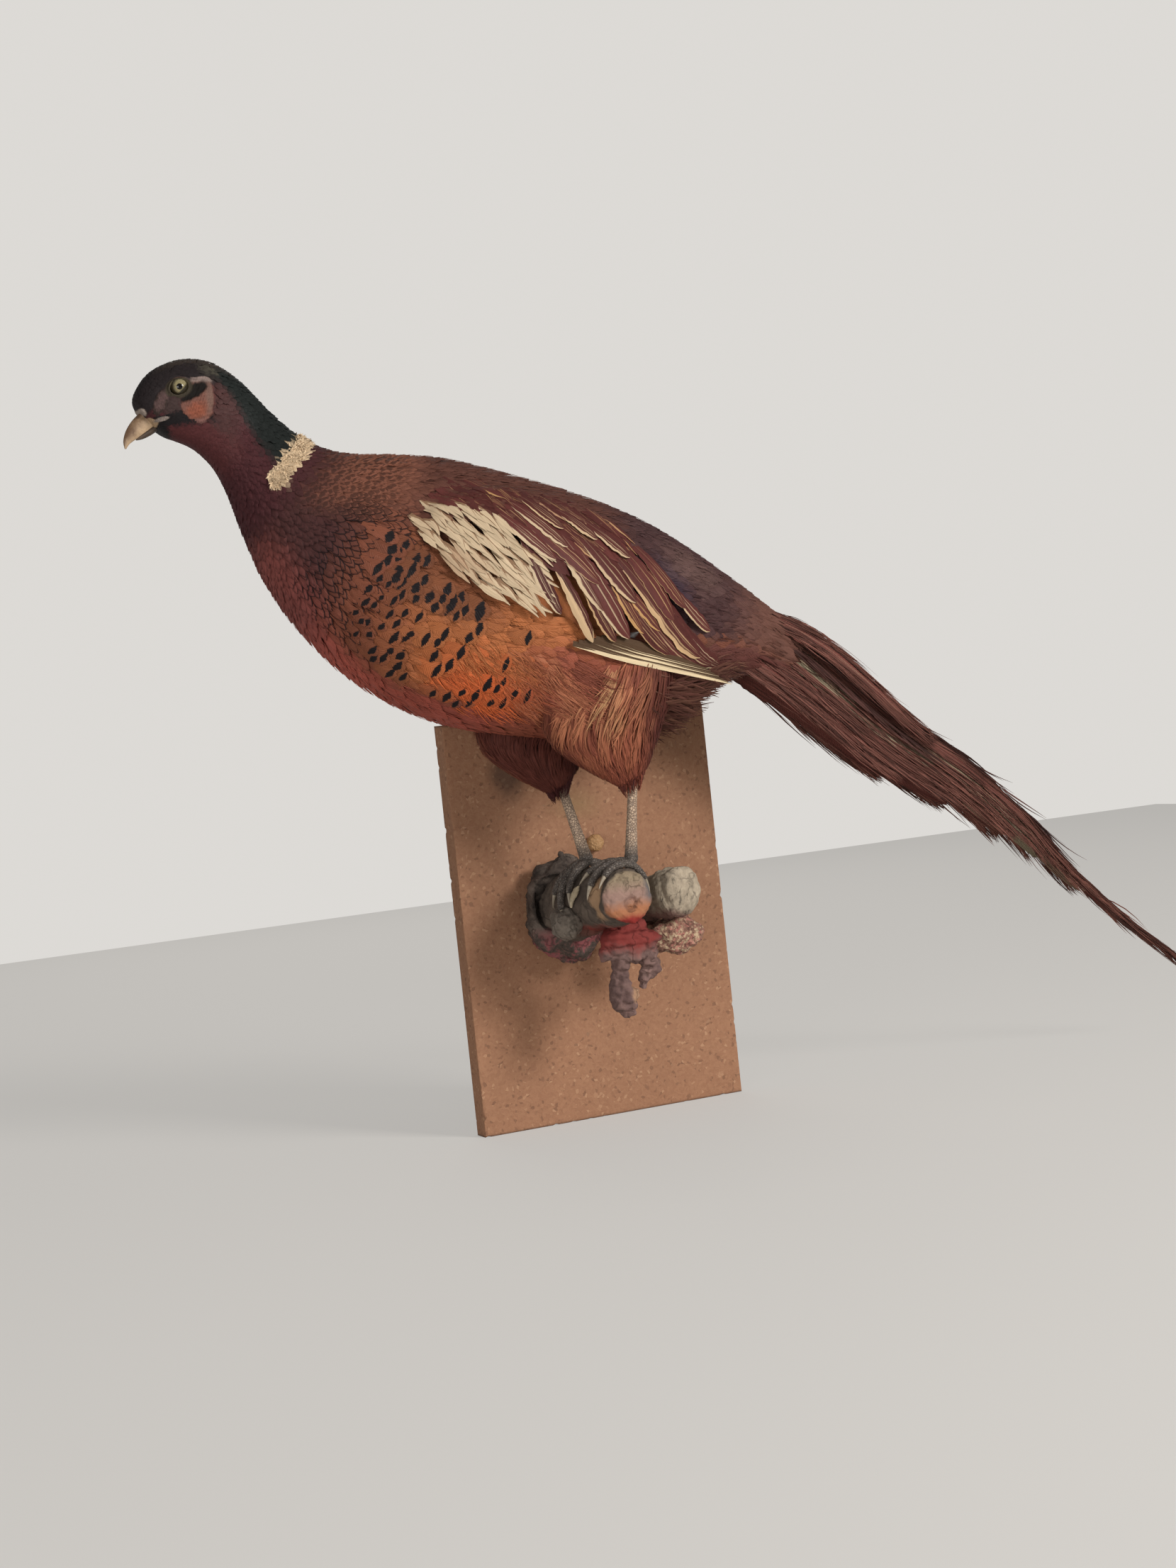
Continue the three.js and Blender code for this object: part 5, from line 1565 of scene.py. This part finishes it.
def make_legs():
    """Each shank, ankle and four toes as one piece: scutes down the front, rows of small
    scales behind, knuckles and plates on the toes. The claws are horn."""
    scale = leg_finish()
    claw = horn_finish("claw_horn", (0.46, 0.39, 0.29), (0.12, 0.09, 0.065))
    for name, leg in LEGS.items():
        hock, ankle = np.array(leg["hock"], float), np.array(leg["ankle"], float)
        t = np.linspace(-0.12, 1, 90)[:, None]
        turn = np.linspace(0, TURN, 28, endpoint=False)
        radius = np.interp(t, np.linspace(0, 1, 5), TARSUS_RADIUS)
        front = ease(np.sin(turn) * np.sign(hock[0] - ankle[0]), 0.1, 0.7)
        scute = 0.28 * np.mod(t * 19, 1) ** 2 * front
        scale_rows = 0.1 * np.sin(t * 150) * np.sin(turn * 5) * (1 - front)
        shells = [tube(rail(hock + (ankle - hock) * t, radius - 0.35 + scute + scale_rows, 28, 0.85)),
                  tube(ankle + (ANKLE_RADIUS - 0.3) * ball(18, 24, 0.05)[0])]
        turn = np.linspace(0, TURN, 18, endpoint=False)
        for toe in TOES:
            line, radii = toe_path(leg, toe)
            s = np.linspace(0, 1, len(line))[:, None]
            knuckle = 1 + 0.1 * np.cos(s * TURN * 2.6) ** 2
            plates = 0.16 * np.mod(s * 9, 1) ** 2 * ease(np.abs(np.sin(turn)), 0.2, 0.8)
            shells.append(tube(rail(line, radii[:, None] * knuckle * 0.96 + plates, 18)))
            make_claw(f"claw_{name}_{toe}", line, radii[-1], claw)
        mesh = united(f"leg_{name}", [build_mesh("leg", *shell) for shell in shells])
        piece(f"leg_{name}", mesh, scale, "leg_scale", [f"tarsus_{name}", f"foot_{name}"])


def make_claw(name, line, radius, finish):
    """A horn claw carries on from the toe's end and hooks in towards the limb, deeper than
    wide, its radius falling as the root of what is left of its length."""
    end = line[-1]
    middle = limb_rows(limb_share(end[1]))
    inward = unit(np.array([middle[1] - end[0], 0.0, middle[2] - end[2]]))
    s = np.linspace(0, 1, 18)
    reach = -1.0 + (CLAW_LENGTH + 1.4) * s[:, None]
    path = end + unit(end - line[-4]) * reach + inward * CLAW_HOOK * s[:, None] ** 2
    radii = radius * 0.82 * np.sqrt(np.clip(1.004 - s, 0, 1)) * (1 - 0.35 * s)
    closed(name, rail(path, radii, 14, 0.8), finish, "claw_horn")


def leg_finish():
    """Dry scaled skin: grey-brown plates with pale edges, paler towards the tail."""
    finish = Finish("leg_scale", Roughness=0.5, Specular_IOR_Level=0.4)
    where = finish.place()
    plate = finish.cells(where, 620, feature="DISTANCE_TO_EDGE")
    mottle = finish.noise(where, 300, 4)
    _, _, height = finish.parts(where)
    base = finish.mix((0.31, 0.22, 0.16), (0.56, 0.41, 0.29), mottle.ramp(0.25, 0.75))
    base = finish.mix((0.14, 0.095, 0.07), base, plate.ramp(0.0, 0.16))
    foot = ((0.056 - height) / MM * 0.09 + (mottle - 0.5)).ramp(0, 1)
    # Painted highlights: lighter grey patches over the dark grey of the feet.
    worn = (mottle * 1.6 + plate - 0.75).ramp(0, 0.9)
    worn = finish.mix((0.035, 0.03, 0.028), (0.17, 0.15, 0.135), worn)
    return finish.done(finish.mix(base, worn, foot * 0.9), plate.ramp(0.0, 0.2) + mottle * 0.6, 0.3)


# ---- perch


def lump(middle, radii, wave, around=72, high=48):
    """A rounded lump that swells and dips in smooth waves: 1 + wave (sin(3a + 2p) +
    sin(5p - a)), with p from the top and a round it."""
    points, p, a = ball(high, around)
    swell = 1 + wave * np.sin(3 * a + 2 * p) + wave * np.sin(5 * p - a)
    return tube(np.array(middle, float) + np.array(radii, float) * points * swell[..., None])


def branch(sections, around=64, count=60, grow=0.0):
    """A round branch through sections of x, y, z and radius, smoothed along its length."""
    path = Table(sections, 3)(np.linspace(0, 1, count))
    return tube(rail(path[:, :3], np.maximum(path[:, 3] + grow, 0.5), around))


def weathered(mesh, height, length, seed, also=None):
    """Pushes each point of a mesh along its normal by smooth waves, in mm."""
    count = len(mesh.vertices)
    points, normals = np.empty(count * 3, np.float32), np.empty(count * 3, np.float32)
    mesh.vertices.foreach_get("co", points)
    mesh.vertex_normals.foreach_get("vector", normals)
    points, normals = points.reshape(-1, 3) / MM, normals.reshape(-1, 3)
    push = height * waves(points, length, seed, 4)
    if also:
        push = push + also(points)
    mesh.vertices.foreach_set("co", ((points + normals * push[:, None]) * MM).ravel())
    mesh.update()
    return mesh


def weathered_finish(name, light, dark, paint=None, relief=1.0):
    """Old wood and plaster: light and dark cloudy patches with thin dark cracks. paint lays
    its stains over the colour so far, from the place (x, y, z in mm) and two noises."""
    finish = Finish(name, Roughness=0.85, Specular_IOR_Level=0.2)
    where = finish.place()
    cloud = finish.noise(where, 55, 5, 0.62)
    grit = finish.noise(where, 420, 4, 0.7)
    ridge = 1 - abs(finish.noise(finish.bent(where, 60, 3, 0.012), 85, 2, 0.5) - 0.5) * 16
    base = finish.mix(dark, light, (cloud * 1.7 + grit * 0.7 - 0.7).ramp(0.1, 0.9))
    if paint:
        base = paint(finish, base, [p / MM for p in finish.parts(where)], cloud, grit)
    cracks = ridge.ramp(0.3, 1.0) * (cloud - 0.45).ramp(0, 0.1)
    return finish.done(finish.mix(base, finish.tint(base, 0.35), cracks * 0.7),
                       cloud * 1.5 + grit * 0.8 - cracks * 0.5, 0.8 * relief)


def stain(x, z, middle, size):
    """An oval stain in front view: 1 in its middle, 0 on its rim and less outside."""
    return 1 - (((x - middle[0]) / size[0]) ** 2 + ((z - middle[1]) / size[1]) ** 2) ** 0.5


def limb_paint(finish, base, place, cloud, grit):
    """The limb's cut end: pinkish plaster, bluish at its right rim, orange and crimson
    below, a dark ring round a small nub; and a tan strip behind its left rim."""
    x, y, z = place
    speck = (grit - 0.5) * 7 + (cloud - 0.5) * 12
    ring = ((x - NUB[0]) ** 2 + (z - NUB[1]) ** 2) ** 0.5
    end = finish.stained(
        (0.3, 0.19, 0.155),
        ((0.27, 0.21, 0.14), (z - 22 + speck).ramp(0, 9)),
        ((0.15, 0.09, 0.07), (grit + cloud - 1.05).ramp(0, 0.15) * 0.6),
        ((0.11, 0.105, 0.108), (x + 21 + speck * 0.6).ramp(0, 5) * 0.9),
        ((0.36, 0.15, 0.075), (19 - z + speck * 0.8).ramp(0, 7)),
        ((0.26, 0.03, 0.025), (9 - z + speck * 0.5).ramp(0, 4)),
        ((0.1, 0.045, 0.035), (1 - abs(ring - 4.2) / 1.9 + speck * 0.12).ramp(0, 1) * 0.6))
    strip = (-119 - y + speck * 0.5).ramp(0, 4) * (y + 134).ramp(0, 3) * (-42 - x).ramp(0, 3)
    return finish.stained(
        base, ((0.4, 0.25, 0.145), strip * 0.85),
        ((0.2, 0.035, 0.028), (2 - z + speck).ramp(0, 5) * (-70 - y).ramp(0, 25)),
        (end, (-137 - y).ramp(0, 1.5)))


def burl_paint(finish, base, place, cloud, grit):
    """Pink paint has run down to the burl's lower rim in streaks. The hollow is darker inside: painted shade.
    """
    streak = (cloud + grit * 0.6 - 0.78).ramp(0, 0.12)
    pit = [(p - q) / r for p, q, r in zip(place, HOLLOW["middle"], HOLLOW["radii"])]
    inside = (1.12 - (pit[0] ** 2 + pit[1] ** 2 + pit[2] ** 2) ** 0.5).ramp(0, 0.12)
    # Painted shade: darker inside the hollow.
    return finish.stained(
        finish.tint(base, 1 - inside * 0.65),
        ((0.27, 0.085, 0.09), streak * (-4 - place[2] + (cloud - 0.5) * 20).ramp(0, 12)),
        ((0.3, 0.235, 0.16), (grit - 0.66).ramp(0, 0.06) * 0.6))


def stub_paint(finish, base, place, cloud, grit):
    """Fibres spread from the middle of the stub's cut end; its low side is darker maroon."""
    x, y, z = place
    spoke = finish.grain((x - 24) / 3.2, (z - 14) / 9, y * 0.02, 4, 0.7)
    low = (9 - z - x * 0.22 + (grit - 0.5) * 9 + (cloud - 0.5) * 12).ramp(0, 5)
    return finish.stained(
        finish.tint(base, 0.45 + spoke * 1.1),
        ((0.05, 0.042, 0.036), (0.4 - spoke).ramp(0, 0.08) * 0.7),
        ((0.12, 0.05, 0.045), low * 0.85))


def knob_paint(finish, base, place, cloud, grit):
    """Small flecks of pink, cream and brown, side by side."""
    fleck = finish.grain(*[p / 2.6 for p in place], 3, 0.6)
    other = finish.grain(*[p / 3.4 + 9 for p in place], 3, 0.6)
    return finish.stained(
        base, ((0.52, 0.4, 0.26), (fleck - 0.52).ramp(0, 0.06) * 0.8),
        ((0.42, 0.17, 0.14), (other - 0.54).ramp(0, 0.05) * 0.75),
        ((0.09, 0.045, 0.035), (0.43 - fleck).ramp(0, 0.05) * 0.8))


def drip_paint(finish, base, place, cloud, grit):
    """Crimson where the paint left the limb, dull purple-grey further down, and a patch
    of tan on the lowest lump."""
    x, _, z = place
    speck = (cloud - 0.5) * 26 + (grit - 0.5) * 8
    patch = stain(x, z, (-17, -49), (5, 7)) + (grit - 0.5) * 0.8
    return finish.stained(
        base, ((0.2, 0.028, 0.024), (z + 22 + speck).ramp(0, 9) * 0.9),
        ((0.42, 0.25, 0.15), patch.ramp(0, 0.4) * 0.85))


LUMP_WAVE, KNOB_WAVE, DRIP_WAVE, BEAD_WAVE = 0.05, 0.04, 0.07, 0.015
# x and z of the small nub on the limb's cut end.
NUB = (-30.5, 15)
BURL = {"middle": (-31, -36, 8), "radii": (30, 24, 36)}
HOLLOW = {"middle": (-46, -60, 14), "radii": (19, 20, 23)}
DOME = {"middle": (-53.5, -86, 3), "radii": (10, 15, 11)}
# A chip of pale wood across the limb's side: distance from the wall, degrees from the
# top, and radius.
CHIP = [(-101, 98, 0.5), (-103, 88, 1.5), (-106, 78, 2.0), (-109, 70, 1.6), (-111, 64, 0.5)]
STUB = [
    (0, -36, 5, 11), (9, -62, 8, 13.5), (18, -86, 12, 16), (23, -102, 15, 17.3),
    (24.2, -109, 15.6, 14.5), (24.6, -111, 15.8, 6),
]
KNOB_STEM = [(-4, -36, -6, 9), (10, -58, -11, 10), (22, -78, -15, 9)]
KNOB = {"middle": (26, -86, -15.5), "radii": (20, 14, 13)}
DRIP = {"middle": (-18, -104, -14), "radii": (22, 13, 14)}
DRIP_FALL = [
    (-23, -103, -22, 9), (-25, -102, -33, 6), (-25, -101, -41, 7.5), (-23, -100, -50, 10),
    (-22, -99, -59, 7), (-22, -99, -64.5, 2),
]
DRIP_SIDE = [(-6, -102, -20, 9), (-2, -101, -30, 7), (-6, -100, -39, 5), (-9, -100, -46, 2)]
BEAD = {"middle": (3, -board_high[1] + board_low[1] - 5.35, 49.5), "radii": (6, 4.6, 6)}


PERCH_NODES = ("perch_limb", "perch_burl", "perch_stub", "perch_knob", "perch_drip", "filler_bead")


def inside(lump_size, depth):
    """A lump's size, that far inside it."""
    return {**lump_size, "radii": np.array(lump_size["radii"]) - depth}


def foam_finish():
    """A bead of dry filler: tan, with small bubbles."""
    finish = Finish("filler", Roughness=0.6, Specular_IOR_Level=0.4)
    where = finish.place()
    colour = finish.mix((0.3, 0.15, 0.06), (0.5, 0.3, 0.14), finish.noise(where, 300, 4))
    return finish.done(colour, finish.cells(where, 900), 0.5)


def box_shell(low, high):
    """Points and quads of a plain box."""
    x, y, z = np.meshgrid(*zip(low, high), indexing="ij")
    points = stack(x, y, z).reshape(-1, 3).astype(float)
    quads = np.array([[0, 1, 3, 2], [4, 6, 7, 5], [0, 4, 5, 1], [2, 3, 7, 6], [0, 2, 6, 4], [1, 5, 7, 3]])
    return points, quads


def nub(points):
    """A small nub in a shallow dent on the cut front of the limb."""
    out = np.hypot(points[:, 0] - NUB[0], points[:, 2] - NUB[1])
    front = ease(points[:, 1], -136.5, -140)
    return front * (1.2 * np.exp(-(out / 1.8) ** 2) - 0.8 * np.exp(-((out - 3.8) / 1.3) ** 2))


def make_perch():
    """Each lump and branch a little inside its solid, weathered out to it: its shells,
    how they are joined or cut, the height and length of its waves in mm and their seed."""
    s, a = rings(np.concatenate([np.linspace(0, 0.8, 70), np.linspace(0.8, 1, 50)[1:]]), 110)
    y, turn, radius = np.array(CHIP, float).T
    chip = np.column_stack([limb(limb_share(y), np.radians(turn), 3.0), radius])
    bark = weathered_finish("burl_bark", (0.17, 0.132, 0.11), (0.022, 0.016, 0.014), burl_paint)
    dome_bark = weathered_finish("dome_bark", (0.24, 0.2, 0.165), (0.07, 0.055, 0.045))
    chip_wood = weathered_finish("chip_wood", (0.55, 0.47, 0.34), (0.3, 0.24, 0.16))
    plaster, stub_bark, knob_coat, drip_coat = (
        weathered_finish(*look) for look in (
            ("limb_plaster", (0.15, 0.115, 0.09), (0.05, 0.038, 0.032), limb_paint, 0.6),
            ("stub_bark", (0.46, 0.385, 0.29), (0.24, 0.195, 0.145), stub_paint, 0.8),
            ("knob_paint", (0.36, 0.2, 0.14), (0.16, 0.08, 0.06), knob_paint, 1.2),
            ("drip_paint", (0.26, 0.16, 0.14), (0.08, 0.048, 0.046), drip_paint, 0.7)))
    behind = box_shell((-120, -BOARD_THICKNESS - 0.35, -120), (120, 40, 120))
    cut = ["DIFFERENCE", "DIFFERENCE"]
    for name, finish, slot, crease, waved, shells, operations in (
            ("perch_limb", plaster, "perch_wood", 60, (0.9, 17, 21, nub),
             [tube(limb(s, a, -0.6))], None),
            ("perch_burl", bark, "perch_wood", 50, (1.3, 15, 22),
             [lump(**inside(BURL, 0.8), wave=LUMP_WAVE, around=96, high=64),
              lump(**HOLLOW, wave=KNOB_WAVE, around=64, high=44), behind], cut),
            ("burl_dome", dome_bark, "perch_wood", None, (0.8, 12, 27),
             [lump(**DOME, wave=KNOB_WAVE)], None),
            ("burl_chip", chip_wood, "perch_wood", None, (0.25, 5, 28), [branch(chip, 24, 40)], None),
            ("perch_stub", stub_bark, "perch_wood", 60, (1.0, 14, 23), [branch(STUB, 90, 90, -0.7)], None),
            ("perch_knob", knob_coat, "perch_paint", 60, (1.1, 12, 24),
             [branch(KNOB_STEM, 48, 40, -0.6), lump(**inside(KNOB, 0.7), wave=KNOB_WAVE)], None),
            ("perch_drip", drip_coat, "perch_paint", 60, (1.3, 11, 25),
             [lump(**inside(DRIP, 0.8), wave=DRIP_WAVE), branch(DRIP_FALL, 40, 60, -0.5),
              branch(DRIP_SIDE, 40, 40, -0.4)], None),
            ("filler_bead", foam_finish(), "filler", 70, (0.35, 9, 26),
             [lump(**BEAD, wave=BEAD_WAVE)], None)):
        meshes = [build_mesh(name, *shell) for shell in shells]
        mesh = united(name, meshes, operations) if len(meshes) > 1 else meshes[0]
        piece(name, weathered(mesh, *waved), finish, slot,
              [name] if name in PERCH_NODES else (), crease)


# ---- board


def make_board():
    """Rings of the board's outline, from the middle of its back over the edges to the
    middle of its front. Its corners are barely rounded and its edges a little chipped."""
    half_w, half_h = BOARD_WIDTH / 2, BOARD_HEIGHT / 2
    across = np.linspace(-half_w, half_w, 90, endpoint=False)
    down = np.linspace(half_h, -half_h, 130, endpoint=False)
    top, right = stack(across, half_h), stack(half_w, down)
    outline = np.concatenate([top, right, -top, -right])
    rim = [90, 60, 30, 12, 3, 0.9, 0.25]
    inset = np.array([*rim, *[0] * 6, *rim[::-1]])
    edge = [0.25, 0.9, 3, 6, 9, 12, BOARD_THICKNESS - 0.9, BOARD_THICKNESS - 0.25]
    depth = np.array([*[0] * 6, *edge, *[BOARD_THICKNESS] * 6])
    scale = np.maximum(stack(1 - inset / half_w, 1 - inset / half_h), 0.02)
    x, z = (outline[None, :, k] * scale[:, None, k] for k in (0, 1))
    grid = stack(x, -depth[:, None], z)
    near_edge = ease(inset, 4, 0.3)[:, None]
    chips = np.maximum(waves(grid, 9, 31) - 0.75, 0) * 1.6 + np.maximum(waves(grid, 28, 32) - 0.9, 0)
    grid[..., 0] -= np.sign(x) * near_edge * chips * (np.abs(x) > half_w - 2)
    grid[..., 2] -= np.sign(z) * near_edge * chips * (np.abs(z) > half_h - 2)
    closed("board", grid, board_finish(), "chipboard", 40)


def board_finish():
    """Bare chipboard: pressed chips, some pale and some dark, a dark patch and a faint
    green stain on the front, and darkened upper and lower rims."""
    finish = Finish("chipboard", Roughness=0.82, Specular_IOR_Level=0.25)
    where = finish.place()
    x, y, z = (p / MM for p in finish.parts(where))
    chip = finish.cells(finish.bent(where, 90, 2, 0.006), 520, output=1)    # a colour per chip
    first, second, _ = finish.parts(chip)
    small = finish.noise(where, 900, 4, 0.7)
    cloud = finish.noise(where, 9, 4)
    base = finish.stained(
        finish.mix((0.27, 0.13, 0.075), (0.4, 0.215, 0.125), first * 0.35 + small * 0.7 - 0.05),
        ((0.5, 0.3, 0.18), first.ramp(0.95, 0.985) * 0.5),
        ((0.14, 0.07, 0.045), second.ramp(0.92, 0.98) * 0.5))
    base = finish.tint(base, 0.82 + z.ramp(70, -120) * 0.08 + cloud * 0.2)
    front = y.ramp(3 - BOARD_THICKNESS, 1 - BOARD_THICKNESS)
    # A dark patch on the front, under the bird.
    dark_patch = stain(x, z, (-56, 103), (16, 24)) + (finish.noise(where, 60, 4) - 0.5) * 0.9
    green = stain(x, z, (-6, 78), (22, 14)) + (finish.noise(where, 50, 4) - 0.5)
    border = abs(z).ramp(BOARD_HEIGHT / 2 - 1.8, BOARD_HEIGHT / 2 - 0.4)
    base = finish.stained(
        base, ((0.03, 0.022, 0.02), dark_patch.ramp(0, 0.6) * front * 0.62),
        ((0.2, 0.17, 0.07), green.ramp(0, 0.9) * front * 0.3), ((0.06, 0.035, 0.025), border * 0.6))
    return finish.done(base, small + first * 0.7 - second.ramp(0.92, 0.97) * 1.5, 0.35)


# ---- stage

FLOOR_SIZE, FLOOR_COLOUR, BACKGROUND = 4.0, (0.62, 0.6, 0.57), (0.72, 0.7, 0.67)
SKY = 0.28
LAMP_AIM = (0.0, -0.1, 0.12)
# Place in metres, size in metres, power in watts.
LAMPS = {
    "key": ((1.0, -2.1, 0.9), 0.7, 48), "fill": ((-1.7, -2.0, -0.02), 1.2, 30),
    "back": ((0.4, 1.9, 1.2), 1.4, 7),
}
CAMERA = {"place": (-0.706, -1.604, 0.1516), "azimuth": -24.1, "elevation": 2.0, "roll": -6.0}
FOCAL_LENGTH, SENSOR = 56.962, 36.0    # mm


def make_stage():
    """A pale floor at the board's lower edge, seen half in its own colour and half in the
    background's, a pale room and three soft lamps."""
    half, level = FLOOR_SIZE / 2, board_low[2] * MM
    floor = bpy.data.meshes.new("floor")
    floor.from_pydata([(-half, -half, level), (half, -half, level), (half, half, level),
                       (-half, half, level)], [], [(0, 1, 2, 3)])
    add("floor", floor)
    ground = Finish("floor", Roughness=0.9, Base_Color=(*FLOOR_COLOUR, 1))
    pale = ground.node("ShaderNodeEmission", None, {"Color": BACKGROUND, "Strength": 1.0})
    ground.show(ground.ray("Camera").most(ground.ray("Glossy")) * 0.5,
                Value(ground, ground.shader.outputs[0]), pale, "Material Output")
    floor.materials.append(ground.material)

    world = bpy.data.worlds.new("pale room")
    bpy.context.scene.world = world
    world.use_nodes = True
    room = Nodes(world.node_tree)
    light = room.node("ShaderNodeBackground", None, {"Color": (1.0, 0.98, 0.95), "Strength": SKY})
    shown = room.node("ShaderNodeBackground", None, {"Color": BACKGROUND})
    room.show(room.ray("Camera").most(room.ray("Transmission")), light, shown, "World Output")

    for name, (place, size, power) in LAMPS.items():
        lamp = bpy.data.lights.new(name, "AREA")
        lamp.energy, lamp.size, lamp.color = power, size, (1.0, 0.97, 0.93)
        obj = add(name, lamp)
        obj.location = place
        obj.rotation_euler = (Vector(LAMP_AIM) - Vector(place)).to_track_quat("-Z", "Y").to_euler()


def make_camera():
    """The camera looks level, turned to the bird's head end, and rolled."""
    a, e, r = (math.radians(CAMERA[k]) for k in ("azimuth", "elevation", "roll"))
    back = Vector((math.sin(a) * math.cos(e), -math.cos(a) * math.cos(e), math.sin(e)))
    level = Vector((0, 0, 1)).cross(back).normalized()
    upright = back.cross(level)
    right = math.cos(r) * level + math.sin(r) * upright
    up = -math.sin(r) * level + math.cos(r) * upright
    data = bpy.data.cameras.new("camera")
    data.lens, data.sensor_width, data.clip_start = FOCAL_LENGTH, SENSOR, 0.05
    camera = add("camera", data)
    camera.matrix_world = Matrix.Translation(CAMERA["place"]) @ Matrix(
        (right, up, back)).transposed().to_4x4()
    bpy.context.scene.camera = camera
    bpy.context.scene.view_settings.view_transform = "Standard"


def both(make, *given):
    """Makes the same for the left side and then for the right."""
    for name, side in SIDES:
        make(name, side, *given)


make_camera()
make_stage()
make_skin()
both(make_eye)
make_bill()
body_feathers = feather_finish("body_plumage", 11, 0.55)
loose_feathers = feather_finish("hair_plumage", 3, 0.55, 0.1)
quills = quill_finish("wing_quills", 90, 0.5)
make_head_coat(feather_finish("short_plumage", 6, 0.45, 0.08))
make_body_coat(body_feathers)
make_loose_barbs(loose_feathers)
both(make_spots, body_feathers)
make_collar(loose_feathers)
make_rump(loose_feathers)
both(make_wing, quills)
both(make_tail, tail_finish("tail_quills", 0.5), loose_feathers)
both(make_thigh_coat, loose_feathers)
make_legs()
make_perch()
make_board()
